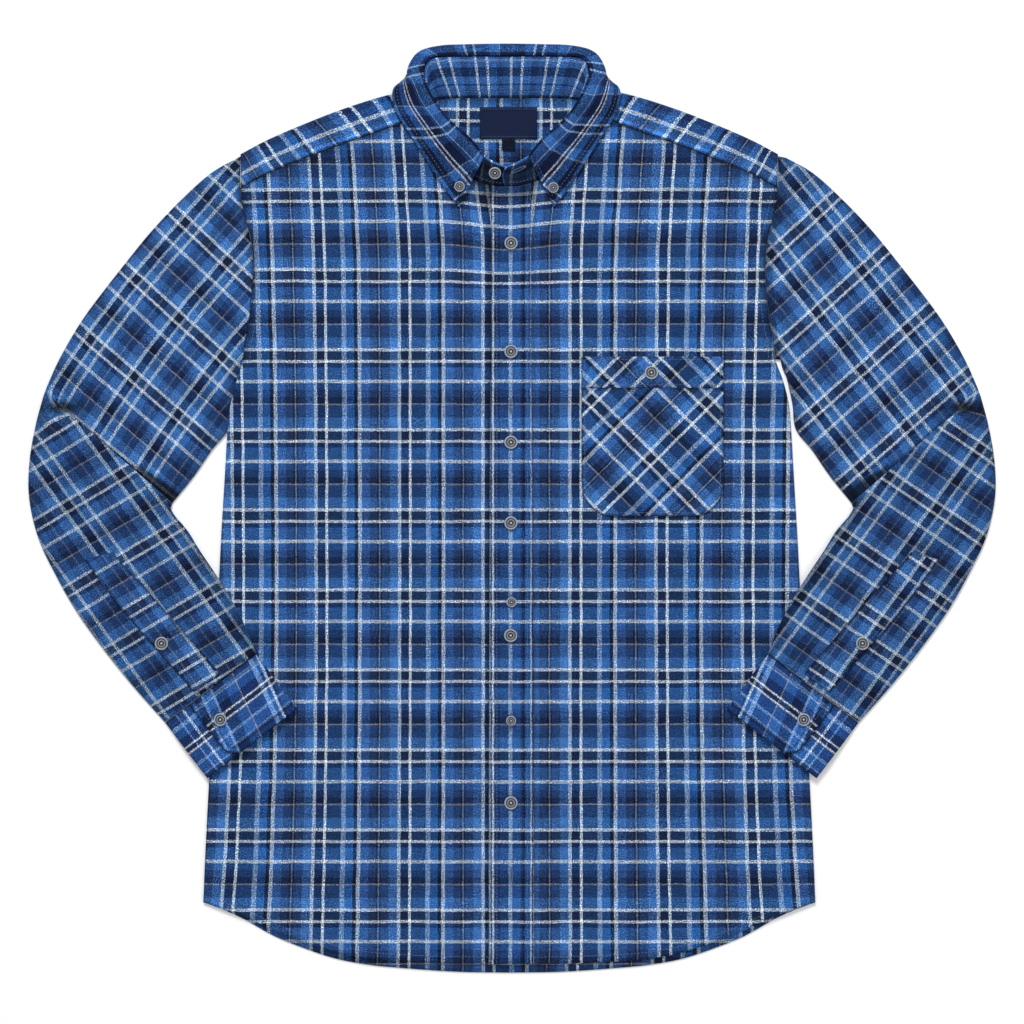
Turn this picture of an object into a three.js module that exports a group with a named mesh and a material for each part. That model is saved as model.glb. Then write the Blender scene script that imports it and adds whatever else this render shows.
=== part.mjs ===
// Flannel shirt laid flat on its back, front up, collar toward +Y.
// Millimetres, +Z up. The shirt rests on z = 0. The wearer's right is at -X.
// Every piece of cloth is a closed wall between two layers of points.

import * as THREE from 'three';

// Cloth and clearances
const CLOTH = 1.2;
const DOUBLED = 1.5;
const SEAM = 0.3;
const LAYER = 0.35;

// Where each part of the shirt is centred across the width
const BODY_X = -2.5;
const COLLAR_X = -5.1;

// Side edge of the body: the armhole seam down to y = 135.7, then the side seam
const EDGE = [
  { y: 325.2, half: 247.0 },
  { y: 294.9, half: 246.8 },
  { y: 270.0, half: 243.3 },
  { y: 247.0, half: 237.4 },
  { y: 221.3, half: 235.1 },
  { y: 195.5, half: 236.7 },
  { y: 171.6, half: 239.2 },
  { y: 152.3, half: 242.9 },
  { y: 135.7, half: 245.0 },
  { y: 119.1, half: 251.2 },
  { y: 95.2, half: 257.1 },
  { y: 72.2, half: 259.0 },
  { y: 26.2, half: 261.7 },
  { y: -29.0, half: 265.0 },
  { y: -84.2, half: 267.7 },
  { y: -139.4, half: 270.5 },
  { y: -194.6, half: 273.2 },
  { y: -249.8, half: 276.0 },
  { y: -305.0, half: 278.8 },
  { y: -340.0, half: 280.4 },
  { y: -362.0, half: 281.2 },
];

// Hem curves: share is the distance from the centre over the half width
const HEM = [
  { share: 0, back: -426.8, front: -418.8 },
  { share: 0.17, back: -426.0, front: -418.1 },
  { share: 0.344, back: -422.7, front: -416.3 },
  { share: 0.465, back: -419.4, front: -413.5 },
  { share: 0.573, back: -413.5, front: -407.1 },
  { share: 0.671, back: -404.3, front: -397.9 },
  { share: 0.768, back: -393.3, front: -387.3 },
  { share: 0.88, back: -375.8, front: -373.1 },
  { share: 1, back: -362.0, front: -362.0 },
];

// Shoulder fold and front yoke seam, from the neck out to the armhole (x from the body's centre)
const SHOULDER = [
  { fold: 76.0, foldY: 384.6, seam: 81.2, seamY: 360.5 },
  { fold: 107.9, foldY: 380.2, seam: 112.0, seamY: 348.9 },
  { fold: 150.2, foldY: 367.5, seam: 152.0, seamY: 335.0 },
  { fold: 189.8, foldY: 352.3, seam: 190.0, seamY: 320.9 },
  { fold: 222.0, foldY: 338.3, seam: 222.0, seamY: 307.6 },
  { fold: 246.8, foldY: 325.2, seam: 246.5, seamY: 295.0 },
];
const BACK_YOKE_Y = 270.0;

// Collar: the seam of the band, its top edge, and the leaf's crest and outer edge
// (x from the collar's centre, half table from the front round to the centre back)
const BAND = [
  { seamX: 9.2, seamY: 296.7, seamZ: 5.4, topX: 11.0, topY: 322.5, topZ: 15.0 },
  { seamX: 25.8, seamY: 301.3, seamZ: 5.4, topX: 22.1, topY: 326.1, topZ: 15.5 },
  { seamX: 47.8, seamY: 313.3, seamZ: 5.6, topX: 36.8, topY: 341.8, topZ: 15.5 },
  { seamX: 66.2, seamY: 331.7, seamZ: 6.0, topX: 48.8, topY: 351.9, topZ: 15.0 },
  { seamX: 76.0, seamY: 351.0, seamZ: 6.4, topX: 58.5, topY: 363.0, topZ: 14.0 },
  { seamX: 77.5, seamY: 366.5, seamZ: 6.0, topX: 67.6, topY: 377.5, topZ: 12.5 },
  { seamX: 71.5, seamY: 375.2, seamZ: 5.0, topX: 73.5, topY: 391.5, topZ: 10.0 },
  { seamX: 63.0, seamY: 377.4, seamZ: 3.6, topX: 74.5, topY: 405.3, topZ: 6.6 },
  { seamX: 53.4, seamY: 378.2, seamZ: 3.0, topX: 67.0, topY: 413.5, topZ: 4.4 },
  { seamX: 31.3, seamY: 378.6, seamZ: 2.9, topX: 37.0, topY: 415.0, topZ: 3.4 },
  { seamX: 0, seamY: 378.6, seamZ: 2.9, topX: 0, topY: 415.0, topZ: 3.2 },
];
const LEAF = [
  { topX: 20.2, topY: 322.5, topZ: 17.9, crestX: 23.8, crestY: 315.0, crestZ: 16.6, edgeX: 43.7, edgeY: 276.5, edgeZ: 8.6 },
  { topX: 28.0, topY: 333.2, topZ: 17.9, crestX: 33.0, crestY: 325.0, crestZ: 16.8, edgeX: 50.8, edgeY: 285.7, edgeZ: 9.2 },
  { topX: 36.8, topY: 342.6, topZ: 17.4, crestX: 42.0, crestY: 334.0, crestZ: 17.0, edgeX: 58.8, edgeY: 296.3, edgeZ: 9.4 },
  { topX: 48.8, topY: 352.6, topZ: 17.0, crestX: 54.8, crestY: 346.0, crestZ: 16.6, edgeX: 73.6, edgeY: 319.7, edgeZ: 9.4 },
  { topX: 58.0, topY: 362.9, topZ: 16.0, crestX: 65.0, crestY: 358.2, crestZ: 15.6, edgeX: 88.3, edgeY: 342.7, edgeZ: 9.2 },
  { topX: 67.4, topY: 377.3, topZ: 14.6, crestX: 76.0, crestY: 373.8, crestZ: 14.2, edgeX: 101.2, edgeY: 363.9, edgeZ: 9.0 },
  { topX: 74.0, topY: 392.0, topZ: 12.2, crestX: 83.5, crestY: 391.0, crestZ: 11.4, edgeX: 104.4, edgeY: 382.6, edgeZ: 7.2 },
  { topX: 75.8, topY: 405.6, topZ: 8.8, crestX: 89.5, crestY: 402.0, crestZ: 6.6, edgeX: 95.5, edgeY: 391.0, edgeZ: 0.9 },
  { topX: 67.6, topY: 414.4, topZ: 6.4, crestX: 80.5, crestY: 418.5, crestZ: 3.9, edgeX: 74.0, edgeY: 388.0, edgeZ: 0.8 },
  { topX: 55.0, topY: 415.8, topZ: 5.6, crestX: 60.5, crestY: 424.6, crestZ: 3.4, edgeX: 55.2, edgeY: 384.5, edgeZ: 0.8 },
  { topX: 30.0, topY: 416.2, topZ: 5.0, crestX: 32.0, crestY: 425.9, crestZ: 3.2, edgeX: 31.3, edgeY: 383.0, edgeZ: 0.8 },
  { topX: 0, topY: 416.2, topZ: 5.0, crestX: 0, crestY: 426.35, crestZ: 3.2, edgeX: 0, edgeY: 383.0, edgeZ: 0.8 },
];
const BAND_END_PAST_CENTRE = 6.0;

// Sleeve: one row for each section, from the armhole seam to the cuff.
// out is on the outer outline, in on the inner one. puff is the height between the two layers,
// armhole is how far the section follows the armhole's curve, over is 1 where it lies on the front.
const SLEEVE = [
  { outX: 249.6, outY: 325.2, inX: 247.5, inY: 135.7, puff: 0.8, armhole: 1, over: 0 },
  { outX: 276.9, outY: 309.6, inX: 248.0, inY: 131.0, puff: 2.2, armhole: 0.8, over: 0 },
  { outX: 305.4, outY: 283.8, inX: 249.0, inY: 127.0, puff: 3.1, armhole: 0.5, over: 0 },
  { outX: 333.0, outY: 254.4, inX: 250.5, inY: 123.0, puff: 3.4, armhole: 0.25, over: 0 },
  { outX: 359.7, outY: 221.3, inX: 252.0, inY: 119.1, puff: 3.5, armhole: 0, over: 0 },
  { outX: 377.2, outY: 199.2, inX: 257.0, inY: 95.2, puff: 3.4, armhole: 0, over: 0 },
  { outX: 393.8, outY: 177.1, inX: 260.0, inY: 72.2, puff: 3.3, armhole: 0, over: 0 },
  { outX: 407.6, outY: 155.0, inX: 275.1, inY: 52.9, puff: 3.0, armhole: 0, over: 0 },
  { outX: 419.5, outY: 132.9, inX: 291.6, inY: 29.0, puff: 2.6, armhole: 0, over: 0 },
  { outX: 428.4, outY: 112.6, inX: 310.9, inY: 5.2, puff: 1.6, armhole: 0, over: 0 },
  { outX: 431.6, outY: 103.4, inX: 313.4, inY: 1.2, puff: 5.0, armhole: 0, over: 0 },
  { outX: 438.6, outY: 77.0, inX: 312.4, inY: -1.6, puff: 4.2, armhole: 0, over: 0 },
  { outX: 444.2, outY: 44.0, inX: 310.4, inY: -5.0, puff: 3.5, armhole: 0, over: 0 },
  { outX: 444.6, outY: 10.0, inX: 307.3, inY: -9.2, puff: 3.4, armhole: 0, over: 0.2 },
  { outX: 436.1, outY: -27.1, inX: 301.8, inY: -15.2, puff: 3.4, armhole: 0, over: 0.6 },
  { outX: 419.5, outY: -62.1, inX: 295.3, inY: -23.5, puff: 3.3, armhole: 0, over: 1 },
  { outX: 401.1, outY: -94.3, inX: 286.1, inY: -38.5, puff: 3.2, armhole: 0, over: 1 },
  { outX: 375.4, outY: -130.2, inX: 266.8, inY: -67.6, puff: 2.9, armhole: 0, over: 1 },
  { outX: 348.7, outY: -163.3, inX: 247.5, inY: -101.7, puff: 2.5, armhole: 0, over: 1 },
  { outX: 319.2, outY: -196.4, inX: 234.6, inY: -132.9, puff: 1.6, armhole: 0, over: 1 },
];

// Cuff: sections from the sleeve's end to the wrist opening
const CUFF = [
  { outX: 318.8, outY: -197.0, inX: 234.2, inY: -133.5, puff: 1.4 },
  { outX: 299.5, outY: -222.2, inX: 215.7, inY: -158.2, puff: 2.0 },
  { outX: 279.7, outY: -247.9, inX: 196.9, inY: -183.5, puff: 1.6 },
];
const CUFF_FLAP_SHARE = 0.44;

// Strip above the cuff, in sleeve sections (row) and share from the outer outline
const GAUNTLET = [
  { row: 14.8, from: 0.25, to: 0.45 },
  { row: 15, from: 0.255, to: 0.457 },
  { row: 16, from: 0.28, to: 0.505 },
  { row: 17, from: 0.305, to: 0.545 },
  { row: 18, from: 0.34, to: 0.59 },
  { row: 18.85, from: 0.37, to: 0.64 },
];

// Placket and chest pocket
const PLACKET = { left: -19.3, right: 17.5 };
const POCKET = { left: 63.8, right: 194.1, top: 139.4, bandBottom: 110.9, bottom: -6.9, corner: 30 };

// Label and tab at the back neck
const LABEL = { left: -29.4, right: 23.0, top: 368.5, bottom: 339.4 };
const TAB = { left: -9.2, right: 2.8, top: 338.9, bottom: 328.9 };

// Buttons: name, place, diameter and the piece of cloth that each one lies on
const BUTTON_THICKNESS = 2.6;
const BUTTONS = [
  { name: 'button_front_1', x: -0.9, y: 243.3, diameter: 12.2, on: 'front_placket' },
  { name: 'button_front_2', x: -0.9, y: 144.0, diameter: 12.2, on: 'front_placket' },
  { name: 'button_front_3', x: -0.9, y: 60.7, diameter: 12.2, on: 'front_placket' },
  { name: 'button_front_4', x: -0.9, y: -13.3, diameter: 12.2, on: 'front_placket' },
  { name: 'button_front_5', x: -0.5, y: -86.0, diameter: 9.2, on: 'front_placket' },
  { name: 'button_front_6', x: -1.2, y: -116.4, diameter: 12.2, on: 'front_placket' },
  { name: 'button_front_7', x: -0.8, y: -194.6, diameter: 9.2, on: 'front_placket' },
  { name: 'button_front_8', x: -0.9, y: -270.0, diameter: 12.2, on: 'front_placket' },
  { name: 'button_band', x: -15.5, y: 307.7, diameter: 11.4, on: 'collar_band' },
  { name: 'button_collar_right', x: -47.8, y: 294.9, diameter: 9.7, on: 'collar_leaf' },
  { name: 'button_collar_left', x: 37.7, y: 293.9, diameter: 9.7, on: 'collar_leaf' },
  { name: 'button_pocket', x: 127.9, y: 124.7, diameter: 12.4, on: 'pocket_band' },
  { name: 'button_gauntlet_right', x: -321.4, y: -123.7, diameter: 12.2, on: 'sleeve_placket_right' },
  { name: 'button_gauntlet_left', x: 321.4, y: -123.7, diameter: 12.2, on: 'sleeve_placket_left' },
  { name: 'button_cuff_right', x: -267.1, y: -193.4, diameter: 11.8, on: 'cuff_right' },
  { name: 'button_cuff_left', x: 267.1, y: -193.4, diameter: 11.8, on: 'cuff_left' },
];

// Soft ridges in the fronts: from one point to another, with a width and a height
const BODY_FOLDS = [
  { x0: -238, y0: 150, x1: -165, y1: 250, width: 15, height: 1.6 },
  { x0: 236, y0: 148, x1: 160, y1: 262, width: 15, height: 1.6 },
  { x0: -246, y0: 96, x1: -150, y1: 128, width: 16, height: 1.2 },
  { x0: 245, y0: 92, x1: 214, y1: 20, width: 14, height: 1.2 },
  { x0: -225, y0: -330, x1: -190, y1: -210, width: 18, height: 1.3 },
  { x0: 225, y0: -335, x1: 196, y1: -235, width: 18, height: 1.3 },
  { x0: -110, y0: -395, x1: -100, y1: -290, width: 18, height: 1.1 },
  { x0: 120, y0: -398, x1: 104, y1: -300, width: 18, height: 1.1 },
];

// Ridges in the sleeves, written for the wearer's left sleeve and mirrored
const SLEEVE_FOLDS = [
  { x0: 262, y0: 150, x1: 318, y1: 236, width: 13, height: 1.3 },
  { x0: 330, y0: 20, x1: 400, y1: 66, width: 11, height: 2.0 },
  { x0: 352, y0: -8, x1: 430, y1: 10, width: 12, height: 1.4 },
  { x0: 300, y0: -40, x1: 352, y1: -84, width: 12, height: 1.2 },
];

const smooth = (t) => {
  const k = Math.min(1, Math.max(0, t));
  return k * k * (3 - 2 * k);
};

const mix = (a, b, t) => a + (b - a) * t;

// Value of one column of a table at a place along another column, straight between rows
function lookUp(table, key, place, column) {
  const rising = table[table.length - 1][key] > table[0][key];
  for (let i = 1; i < table.length; i += 1) {
    const a = table[i - 1];
    const b = table[i];
    const inside = rising ? place <= b[key] : place >= b[key];
    if (inside || i === table.length - 1) {
      const t = Math.min(1, Math.max(0, (place - a[key]) / (b[key] - a[key])));
      return mix(a[column], b[column], t);
    }
  }
  return table[0][column];
}

const halfWidth = (y) => lookUp(EDGE, 'y', y, 'half');

// Height of soft ridges at a place
function ridges(folds, x, y) {
  let height = 0;
  for (const fold of folds) {
    const dx = fold.x1 - fold.x0;
    const dy = fold.y1 - fold.y0;
    const along = ((x - fold.x0) * dx + (y - fold.y0) * dy) / (dx * dx + dy * dy);
    const t = Math.min(1, Math.max(0, along));
    const away = Math.hypot(x - fold.x0 - t * dx, y - fold.y0 - t * dy);
    const fade = Math.sin(Math.PI * Math.min(0.92, Math.max(0.08, t)));
    height += fold.height * fade * Math.exp(-((away / fold.width) ** 2));
  }
  return height;
}

// Space between the back and the fronts: shut at the edges, a little open inside
function puff(x, y) {
  const fromSide = halfWidth(y) - Math.abs(x - BODY_X);
  const fromHem = y + 415;
  const inside = smooth(fromSide / 34) * smooth(fromHem / 40 + 0.25);
  const middle = Math.abs(x - BODY_X) < 60 ? smooth(Math.abs(x - BODY_X) / 60) : 1;
  const neck = 1.6 * smooth((y - 230) / 60) * (1 - smooth((Math.abs(x - BODY_X) - 60) / 120));
  const away = smooth(fromSide / 12);
  return inside * (1.5 + 0.3 * middle) + neck + away * ridges(BODY_FOLDS, x, y);
}

const FRONT_BOTTOM = CLOTH + SEAM;
const frontTop = (x, y) => FRONT_BOTTOM + CLOTH + puff(x, y);

// The left front laps over the right one, and comes down beside it
const LAP = CLOTH + LAYER;
const lapLift = (x) => LAP * (1 - smooth((x - PLACKET.right - 4) / 42));
const frontLeftTop = (x, y) => frontTop(x, y) + lapLift(x);

// Turns matching rows of points into one closed wall. near and far are [row][column] grids.
function closedWall(near, far) {
  const rows = near.length;
  const columns = near[0].length;
  const points = [...near.flat(), ...far.flat()];
  const farStart = rows * columns;
  const faces = [];
  const quad = (a, b, c, d) => faces.push(a, b, c, a, c, d);
  for (let i = 0; i + 1 < rows; i += 1) {
    for (let j = 0; j + 1 < columns; j += 1) {
      const a = i * columns + j;
      quad(a, a + 1, a + columns + 1, a + columns);
      quad(farStart + a, farStart + a + columns, farStart + a + columns + 1, farStart + a + 1);
    }
  }
  const rim = [];
  for (let j = 0; j < columns; j += 1) rim.push(j);
  for (let i = 1; i < rows; i += 1) rim.push(i * columns + columns - 1);
  for (let j = columns - 2; j >= 0; j -= 1) rim.push((rows - 1) * columns + j);
  for (let i = rows - 2; i > 0; i -= 1) rim.push(i * columns);
  rim.forEach((a, k) => {
    const b = rim[(k + 1) % rim.length];
    quad(a, farStart + a, farStart + b, b);
  });
  return solid(points, faces);
}

// Turns matching closed sections into a tube with open ends. outer and inner are [section][corner].
function openTube(outer, inner) {
  const sections = outer.length;
  const corners = outer[0].length;
  const points = [...outer.flat(), ...inner.flat()];
  const innerStart = sections * corners;
  const faces = [];
  const quad = (a, b, c, d) => faces.push(a, b, c, a, c, d);
  for (let i = 0; i < sections; i += 1) {
    for (let j = 0; j < corners; j += 1) {
      const a = i * corners + j;
      const b = i * corners + ((j + 1) % corners);
      if (i + 1 < sections) {
        quad(a, b, b + corners, a + corners);
        quad(innerStart + a, innerStart + a + corners, innerStart + b + corners, innerStart + b);
      }
      if (i === 0) quad(a, innerStart + a, innerStart + b, b);
      if (i === sections - 1) quad(a, b, innerStart + b, innerStart + a);
    }
  }
  return solid(points, faces);
}

// Geometry from corners and faces, turned so that its faces point out
function solid(points, faces) {
  let volume = 0;
  for (let i = 0; i < faces.length; i += 3) {
    const [a, b, c] = [points[faces[i]], points[faces[i + 1]], points[faces[i + 2]]];
    volume += a.dot(b.clone().cross(c));
  }
  if (volume < 0) {
    for (let i = 0; i < faces.length; i += 3) {
      [faces[i], faces[i + 1]] = [faces[i + 1], faces[i]];
    }
  }
  const geometry = new THREE.BufferGeometry();
  geometry.setAttribute('position', new THREE.Float32BufferAttribute(points.flatMap((p) => p.toArray()), 3));
  geometry.setIndex(faces);
  geometry.computeVertexNormals();
  return geometry;
}

// A wall made by moving a middle surface half its thickness each way along its normals
function thickened(middle, thickness) {
  const rows = middle.length;
  const columns = middle[0].length;
  const at = (i, j) => middle[Math.min(rows - 1, Math.max(0, i))][Math.min(columns - 1, Math.max(0, j))];
  const shifted = (side) => middle.map((row, i) => row.map((point, j) => {
    const along = at(i + 1, j).clone().sub(at(i - 1, j));
    const across = at(i, j + 1).clone().sub(at(i, j - 1));
    const normal = along.cross(across).normalize();
    return point.clone().addScaledVector(normal, side * thickness / 2);
  }));
  return closedWall(shifted(1), shifted(-1));
}

// Neck edge of the fronts: the band's seam, moved out from the middle of the neck
const NECK_MIDDLE_Y = 345;
const NECK_GAP = 1.3;
const NECK = BAND.slice(0, 5).map((row) => {
  const away = Math.hypot(row.seamX, row.seamY - NECK_MIDDLE_Y);
  const scale = (away + NECK_GAP) / away;
  return { x: row.seamX * scale, y: NECK_MIDDLE_Y + (row.seamY - NECK_MIDDLE_Y) * scale };
});

// Top edge of the fronts: the yoke seam, then the neck edge down to the centre
function frontTopEdge(x) {
  const fromCollar = Math.abs(x - COLLAR_X);
  if (fromCollar < NECK[4].x + 0.01) return lookUp(NECK, 'x', fromCollar, 'y');
  return lookUp(SHOULDER, 'seam', Math.abs(x - BODY_X), 'seamY') - SEAM / 2;
}

const SIDE_TOP = EDGE[1].y;
const SIDE_BOTTOM = EDGE[EDGE.length - 1].y;
const TOP_HALF = EDGE[1].half;

// A point of a body panel: share across (-1 to 1), and the height at which its row meets the side
function panelPoint(share, sideY, edgeTop, hem) {
  const v = (SIDE_TOP - sideY) / (SIDE_TOP - SIDE_BOTTOM);
  const topX = BODY_X + share * TOP_HALF;
  const top = edgeTop(topX);
  const bottom = lookUp(HEM, 'share', Math.abs(share), hem);
  const y = mix(top, bottom, v);
  return { x: BODY_X + share * halfWidth(Math.abs(share) > 0.999 ? sideY : y), y };
}

const FRONT_ROWS = EDGE.slice(1).map((row) => row.y);
const BACK_ROWS = EDGE.slice(2).map((row) => row.y);

const shareOf = (x) => (x - BODY_X) / TOP_HALF;
const NECK_RIGHT = NECK.map((row) => shareOf(COLLAR_X - row.x)).reverse();
const NECK_LEFT = NECK.map((row) => shareOf(COLLAR_X + row.x));
const LAP_LEFT = shareOf(PLACKET.left);
const LAP_RIGHT = shareOf(PLACKET.right);

function frontPanel(shares, topOf) {
  const near = [];
  const far = [];
  for (const sideY of FRONT_ROWS) {
    const spots = shares.map((share) => panelPoint(share, sideY, frontTopEdge, 'front'));
    near.push(spots.map((p) => new THREE.Vector3(p.x, p.y, topOf(p.x, p.y))));
    far.push(spots.map((p) => new THREE.Vector3(p.x, p.y, topOf(p.x, p.y) - CLOTH)));
  }
  return closedWall(near, far);
}

const LAP_SHARES = [LAP_LEFT, NECK_RIGHT[4], NECK_LEFT[0], LAP_RIGHT];
const RIGHT_SHARES = [-1, -0.975, -0.93, -0.87, -0.8, -0.71, -0.62, -0.53, -0.44,
  ...NECK_RIGHT.slice(0, 4), ...LAP_SHARES];
const LEFT_SHARES = [...LAP_SHARES, ...NECK_LEFT.slice(1),
  0.44, 0.53, 0.62, 0.71, 0.8, 0.87, 0.93, 0.975, 1];

// Back panel: flat underneath, the same outline as the fronts with a longer hem
function backPanel() {
  const shares = [-1, -0.9, -0.78, -0.67, -0.57, -0.46, -0.34, -0.17, 0,
    0.17, 0.34, 0.46, 0.57, 0.67, 0.78, 0.9, 1];
  const near = [];
  const far = [];
  for (const sideY of BACK_ROWS) {
    const v = (BACK_ROWS[0] - sideY) / (BACK_ROWS[0] - SIDE_BOTTOM);
    const row = shares.map((share) => {
      const bottom = lookUp(HEM, 'share', Math.abs(share), 'back');
      const y = mix(BACK_YOKE_Y, bottom, v);
      return { x: BODY_X + share * halfWidth(Math.abs(share) > 0.999 ? sideY : y), y };
    });
    near.push(row.map((p) => new THREE.Vector3(p.x, p.y, CLOTH)));
    far.push(row.map((p) => new THREE.Vector3(p.x, p.y, 0)));
  }
  return closedWall(near, far);
}

// Yoke: strips down the fronts, folded over both shoulders, and across under the back neck
function yokeMiddle() {
  const steps = SHOULDER.length - 1;
  const raised = (x, y) => {
    const nearNeck = 1 - smooth((Math.hypot(x - COLLAR_X, y - 372) - 100) / 60);
    return 0.6 + 2.3 * nearNeck;
  };
  const rows = [];
  const side = (sign) => {
    const lines = [];
    const shoulder = (key, drop, zOf) => SHOULDER.map((row, k) => {
      const t = k / steps;
      const px = BODY_X + sign * mix(row.seam, row.fold, key);
      const py = mix(row.seamY + SEAM / 2, row.foldY, key) - drop * (1 - t * 0.3);
      return new THREE.Vector3(px, py, zOf(px, py, t));
    });
    const onFront = (px, py) => frontTop(px, py) - CLOTH / 2;
    lines.push(shoulder(0, 0, onFront));
    lines.push(shoulder(0.45, 0, (px, py) => mix(onFront(px, py), 3.4, 0.3)));
    lines.push(shoulder(0.88, 0, (px, py, t) => mix(4.9, 3.1, smooth(t * 1.6))));
    lines.push(shoulder(0.97, 0, (px, py, t) => mix(4.5, 2.7, smooth(t * 1.6))));
    lines.push(shoulder(1, 0, (px, py, t) => mix(3.8, 1.85, smooth(t * 1.6))));
    lines.push(shoulder(0.97, 0, (px, py, t) => mix(3.1, 1.0, smooth(t * 1.6))));
    lines.push(shoulder(0.88, 0, (px, py, t) => mix(2.9, 0.6, smooth(t * 1.6))));
    const fan = [
      { nx: 72.5, ny: 372.5, ox: 244.6, oy: 294.9 },
      { nx: 64.0, ny: 375.2, ox: 243.3, oy: BACK_YOKE_Y + SEAM },
      { nx: 53.5, ny: 376.6, ox: 180.0, oy: BACK_YOKE_Y + SEAM },
      { nx: 31.5, ny: 377.2, ox: 90.0, oy: BACK_YOKE_Y + SEAM },
    ];
    for (const ray of fan) {
      lines.push(SHOULDER.map((row, k) => {
        const t = k / steps;
        const px = mix(COLLAR_X + sign * ray.nx, BODY_X + sign * ray.ox, t);
        const py = mix(ray.ny, ray.oy, t);
        return new THREE.Vector3(px, py, raised(px, py));
      }));
    }
    return lines;
  };
  rows.push(...side(-1));
  rows.push(SHOULDER.map((row, k) => {
    const t = k / steps;
    const px = mix(COLLAR_X, BODY_X, t);
    const py = mix(377.2, BACK_YOKE_Y + SEAM, t);
    return new THREE.Vector3(px, py, raised(px, py));
  }));
  rows.push(...side(1).reverse());
  return rows;
}

// Band round the neck, from the wearer's right end to the left end, which laps over it
function bandMiddle() {
  const half = (sign) => BAND.map((row) => {
    const line = [];
    for (let k = 0; k <= 3; k += 1) {
      const t = k / 3;
      const bow = Math.sin(Math.PI * t) * 0.6;
      line.push(new THREE.Vector3(
        COLLAR_X + sign * mix(row.seamX, row.topX, t),
        mix(row.seamY, row.topY, t),
        mix(row.seamZ, row.topZ, t) + bow,
      ));
    }
    return line;
  });
  const end = (sign, lift) => {
    const line = [];
    for (let k = 0; k <= 3; k += 1) {
      const t = k / 3;
      const round = sign > 0 ? Math.sin(Math.PI * Math.min(1, t * 1.1)) * 2.2 : 0;
      line.push(new THREE.Vector3(
        COLLAR_X - sign * (BAND_END_PAST_CENTRE - 4 + round),
        mix(BAND[0].seamY, BAND[0].topY, t) + (t - 0.5) * -2.0,
        mix(BAND[0].seamZ, BAND[0].topZ, t) + Math.sin(Math.PI * t) * 0.6 + lift,
      ));
    }
    return line;
  };
  const right = half(-1);
  const left = half(1);
  left[0].forEach((point) => { point.z += 2.4; });
  left[1].forEach((point) => { point.z += 0.6; });
  right[0].forEach((point) => { point.z -= 0.2; });
  const round = [...right, ...left.slice(0, -1).reverse()];
  return [end(-1, -0.4), ...round, end(1, 2.6)];
}

// Fall of the collar: down onto the fronts and, round the back, folded under the band
function leafMiddle() {
  const half = (sign) => LEAF.map((row, k) => {
    const corner = (x, y, z) => new THREE.Vector3(COLLAR_X + sign * x, y, z);
    const under = smooth((k - 5.2) / 2.6);
    const line = [corner(row.topX, row.topY, row.topZ), corner(row.crestX, row.crestY, row.crestZ)];
    const foldDrop = under * (row.crestZ - 0.8);
    const steps = [0.12, 0.4, 0.7, 1];
    for (const t of steps) {
      const x = mix(row.crestX, row.edgeX, t);
      const y = mix(row.crestY, row.edgeY, t);
      const straight = mix(row.crestZ, row.edgeZ, t);
      const folded = t < 0.2 ? row.crestZ - foldDrop * 0.55 : 0.8;
      line.push(corner(x, y, mix(straight, folded, under)));
    }
    return line;
  });
  return [...half(-1), ...half(1).slice(0, -1).reverse()];
}

// What the forearm and the cuff lie on: the front, and a slope down to the surface beside it
function restHeight(x, y) {
  const outside = Math.abs(x - BODY_X) - halfWidth(y);
  const shoulder = FRONT_BOTTOM + CLOTH + 1.0;
  if (outside < 12) return shoulder + puff(x, y) * smooth(-outside / 3);
  return shoulder * (1 - smooth((outside - 12) / 36));
}

const SHARES = EDGE.slice(0, 9).map((row) => (EDGE[0].y - row.y) / (EDGE[0].y - EDGE[8].y));

// A point of the sleeve at a section (row, may lie between rows) and a share from the outer outline
function sleeveSpot(row, share) {
  const i = Math.min(SLEEVE.length - 2, Math.floor(row));
  const t = row - i;
  const spot = (section) => {
    const x = mix(section.outX, section.inX, share);
    const y = mix(section.outY, section.inY, share);
    const seamY = mix(EDGE[0].y, EDGE[8].y, share);
    const curve = halfWidth(seamY) - mix(EDGE[0].half, EDGE[8].half, share);
    return { x: x + curve * section.armhole, y };
  };
  const a = spot(SLEEVE[i]);
  const b = spot(SLEEVE[i + 1]);
  const fields = { puff: 0, over: 0 };
  for (const key of Object.keys(fields)) fields[key] = mix(SLEEVE[i][key], SLEEVE[i + 1][key], t);
  return { x: mix(a.x, b.x, t), y: mix(a.y, b.y, t), ...fields };
}

const bulge = (share) => Math.sqrt(Math.max(0, 1 - (2 * share - 1) ** 4));

function sleeveTop(spot, share, x) {
  const rest = spot.over * restHeight(x, spot.y);
  const folds = bulge(share) * ridges(SLEEVE_FOLDS, spot.x, spot.y);
  return rest + 2 * CLOTH + SEAM + spot.puff * bulge(share) + folds;
}

// x of a sleeve spot on one side; the first section hugs the armhole, the next ones the side seam
function sleeveX(sign, spot, row) {
  let x = sign * spot.x;
  if (row < 0.001) {
    const seam = spot.y;
    return BODY_X + sign * (halfWidth(seam) + SEAM);
  }
  if (row < 7.5) {
    const clear = halfWidth(spot.y) + SEAM;
    if (Math.abs(x - BODY_X) < clear) x = BODY_X + sign * clear;
  }
  return x;
}

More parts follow.
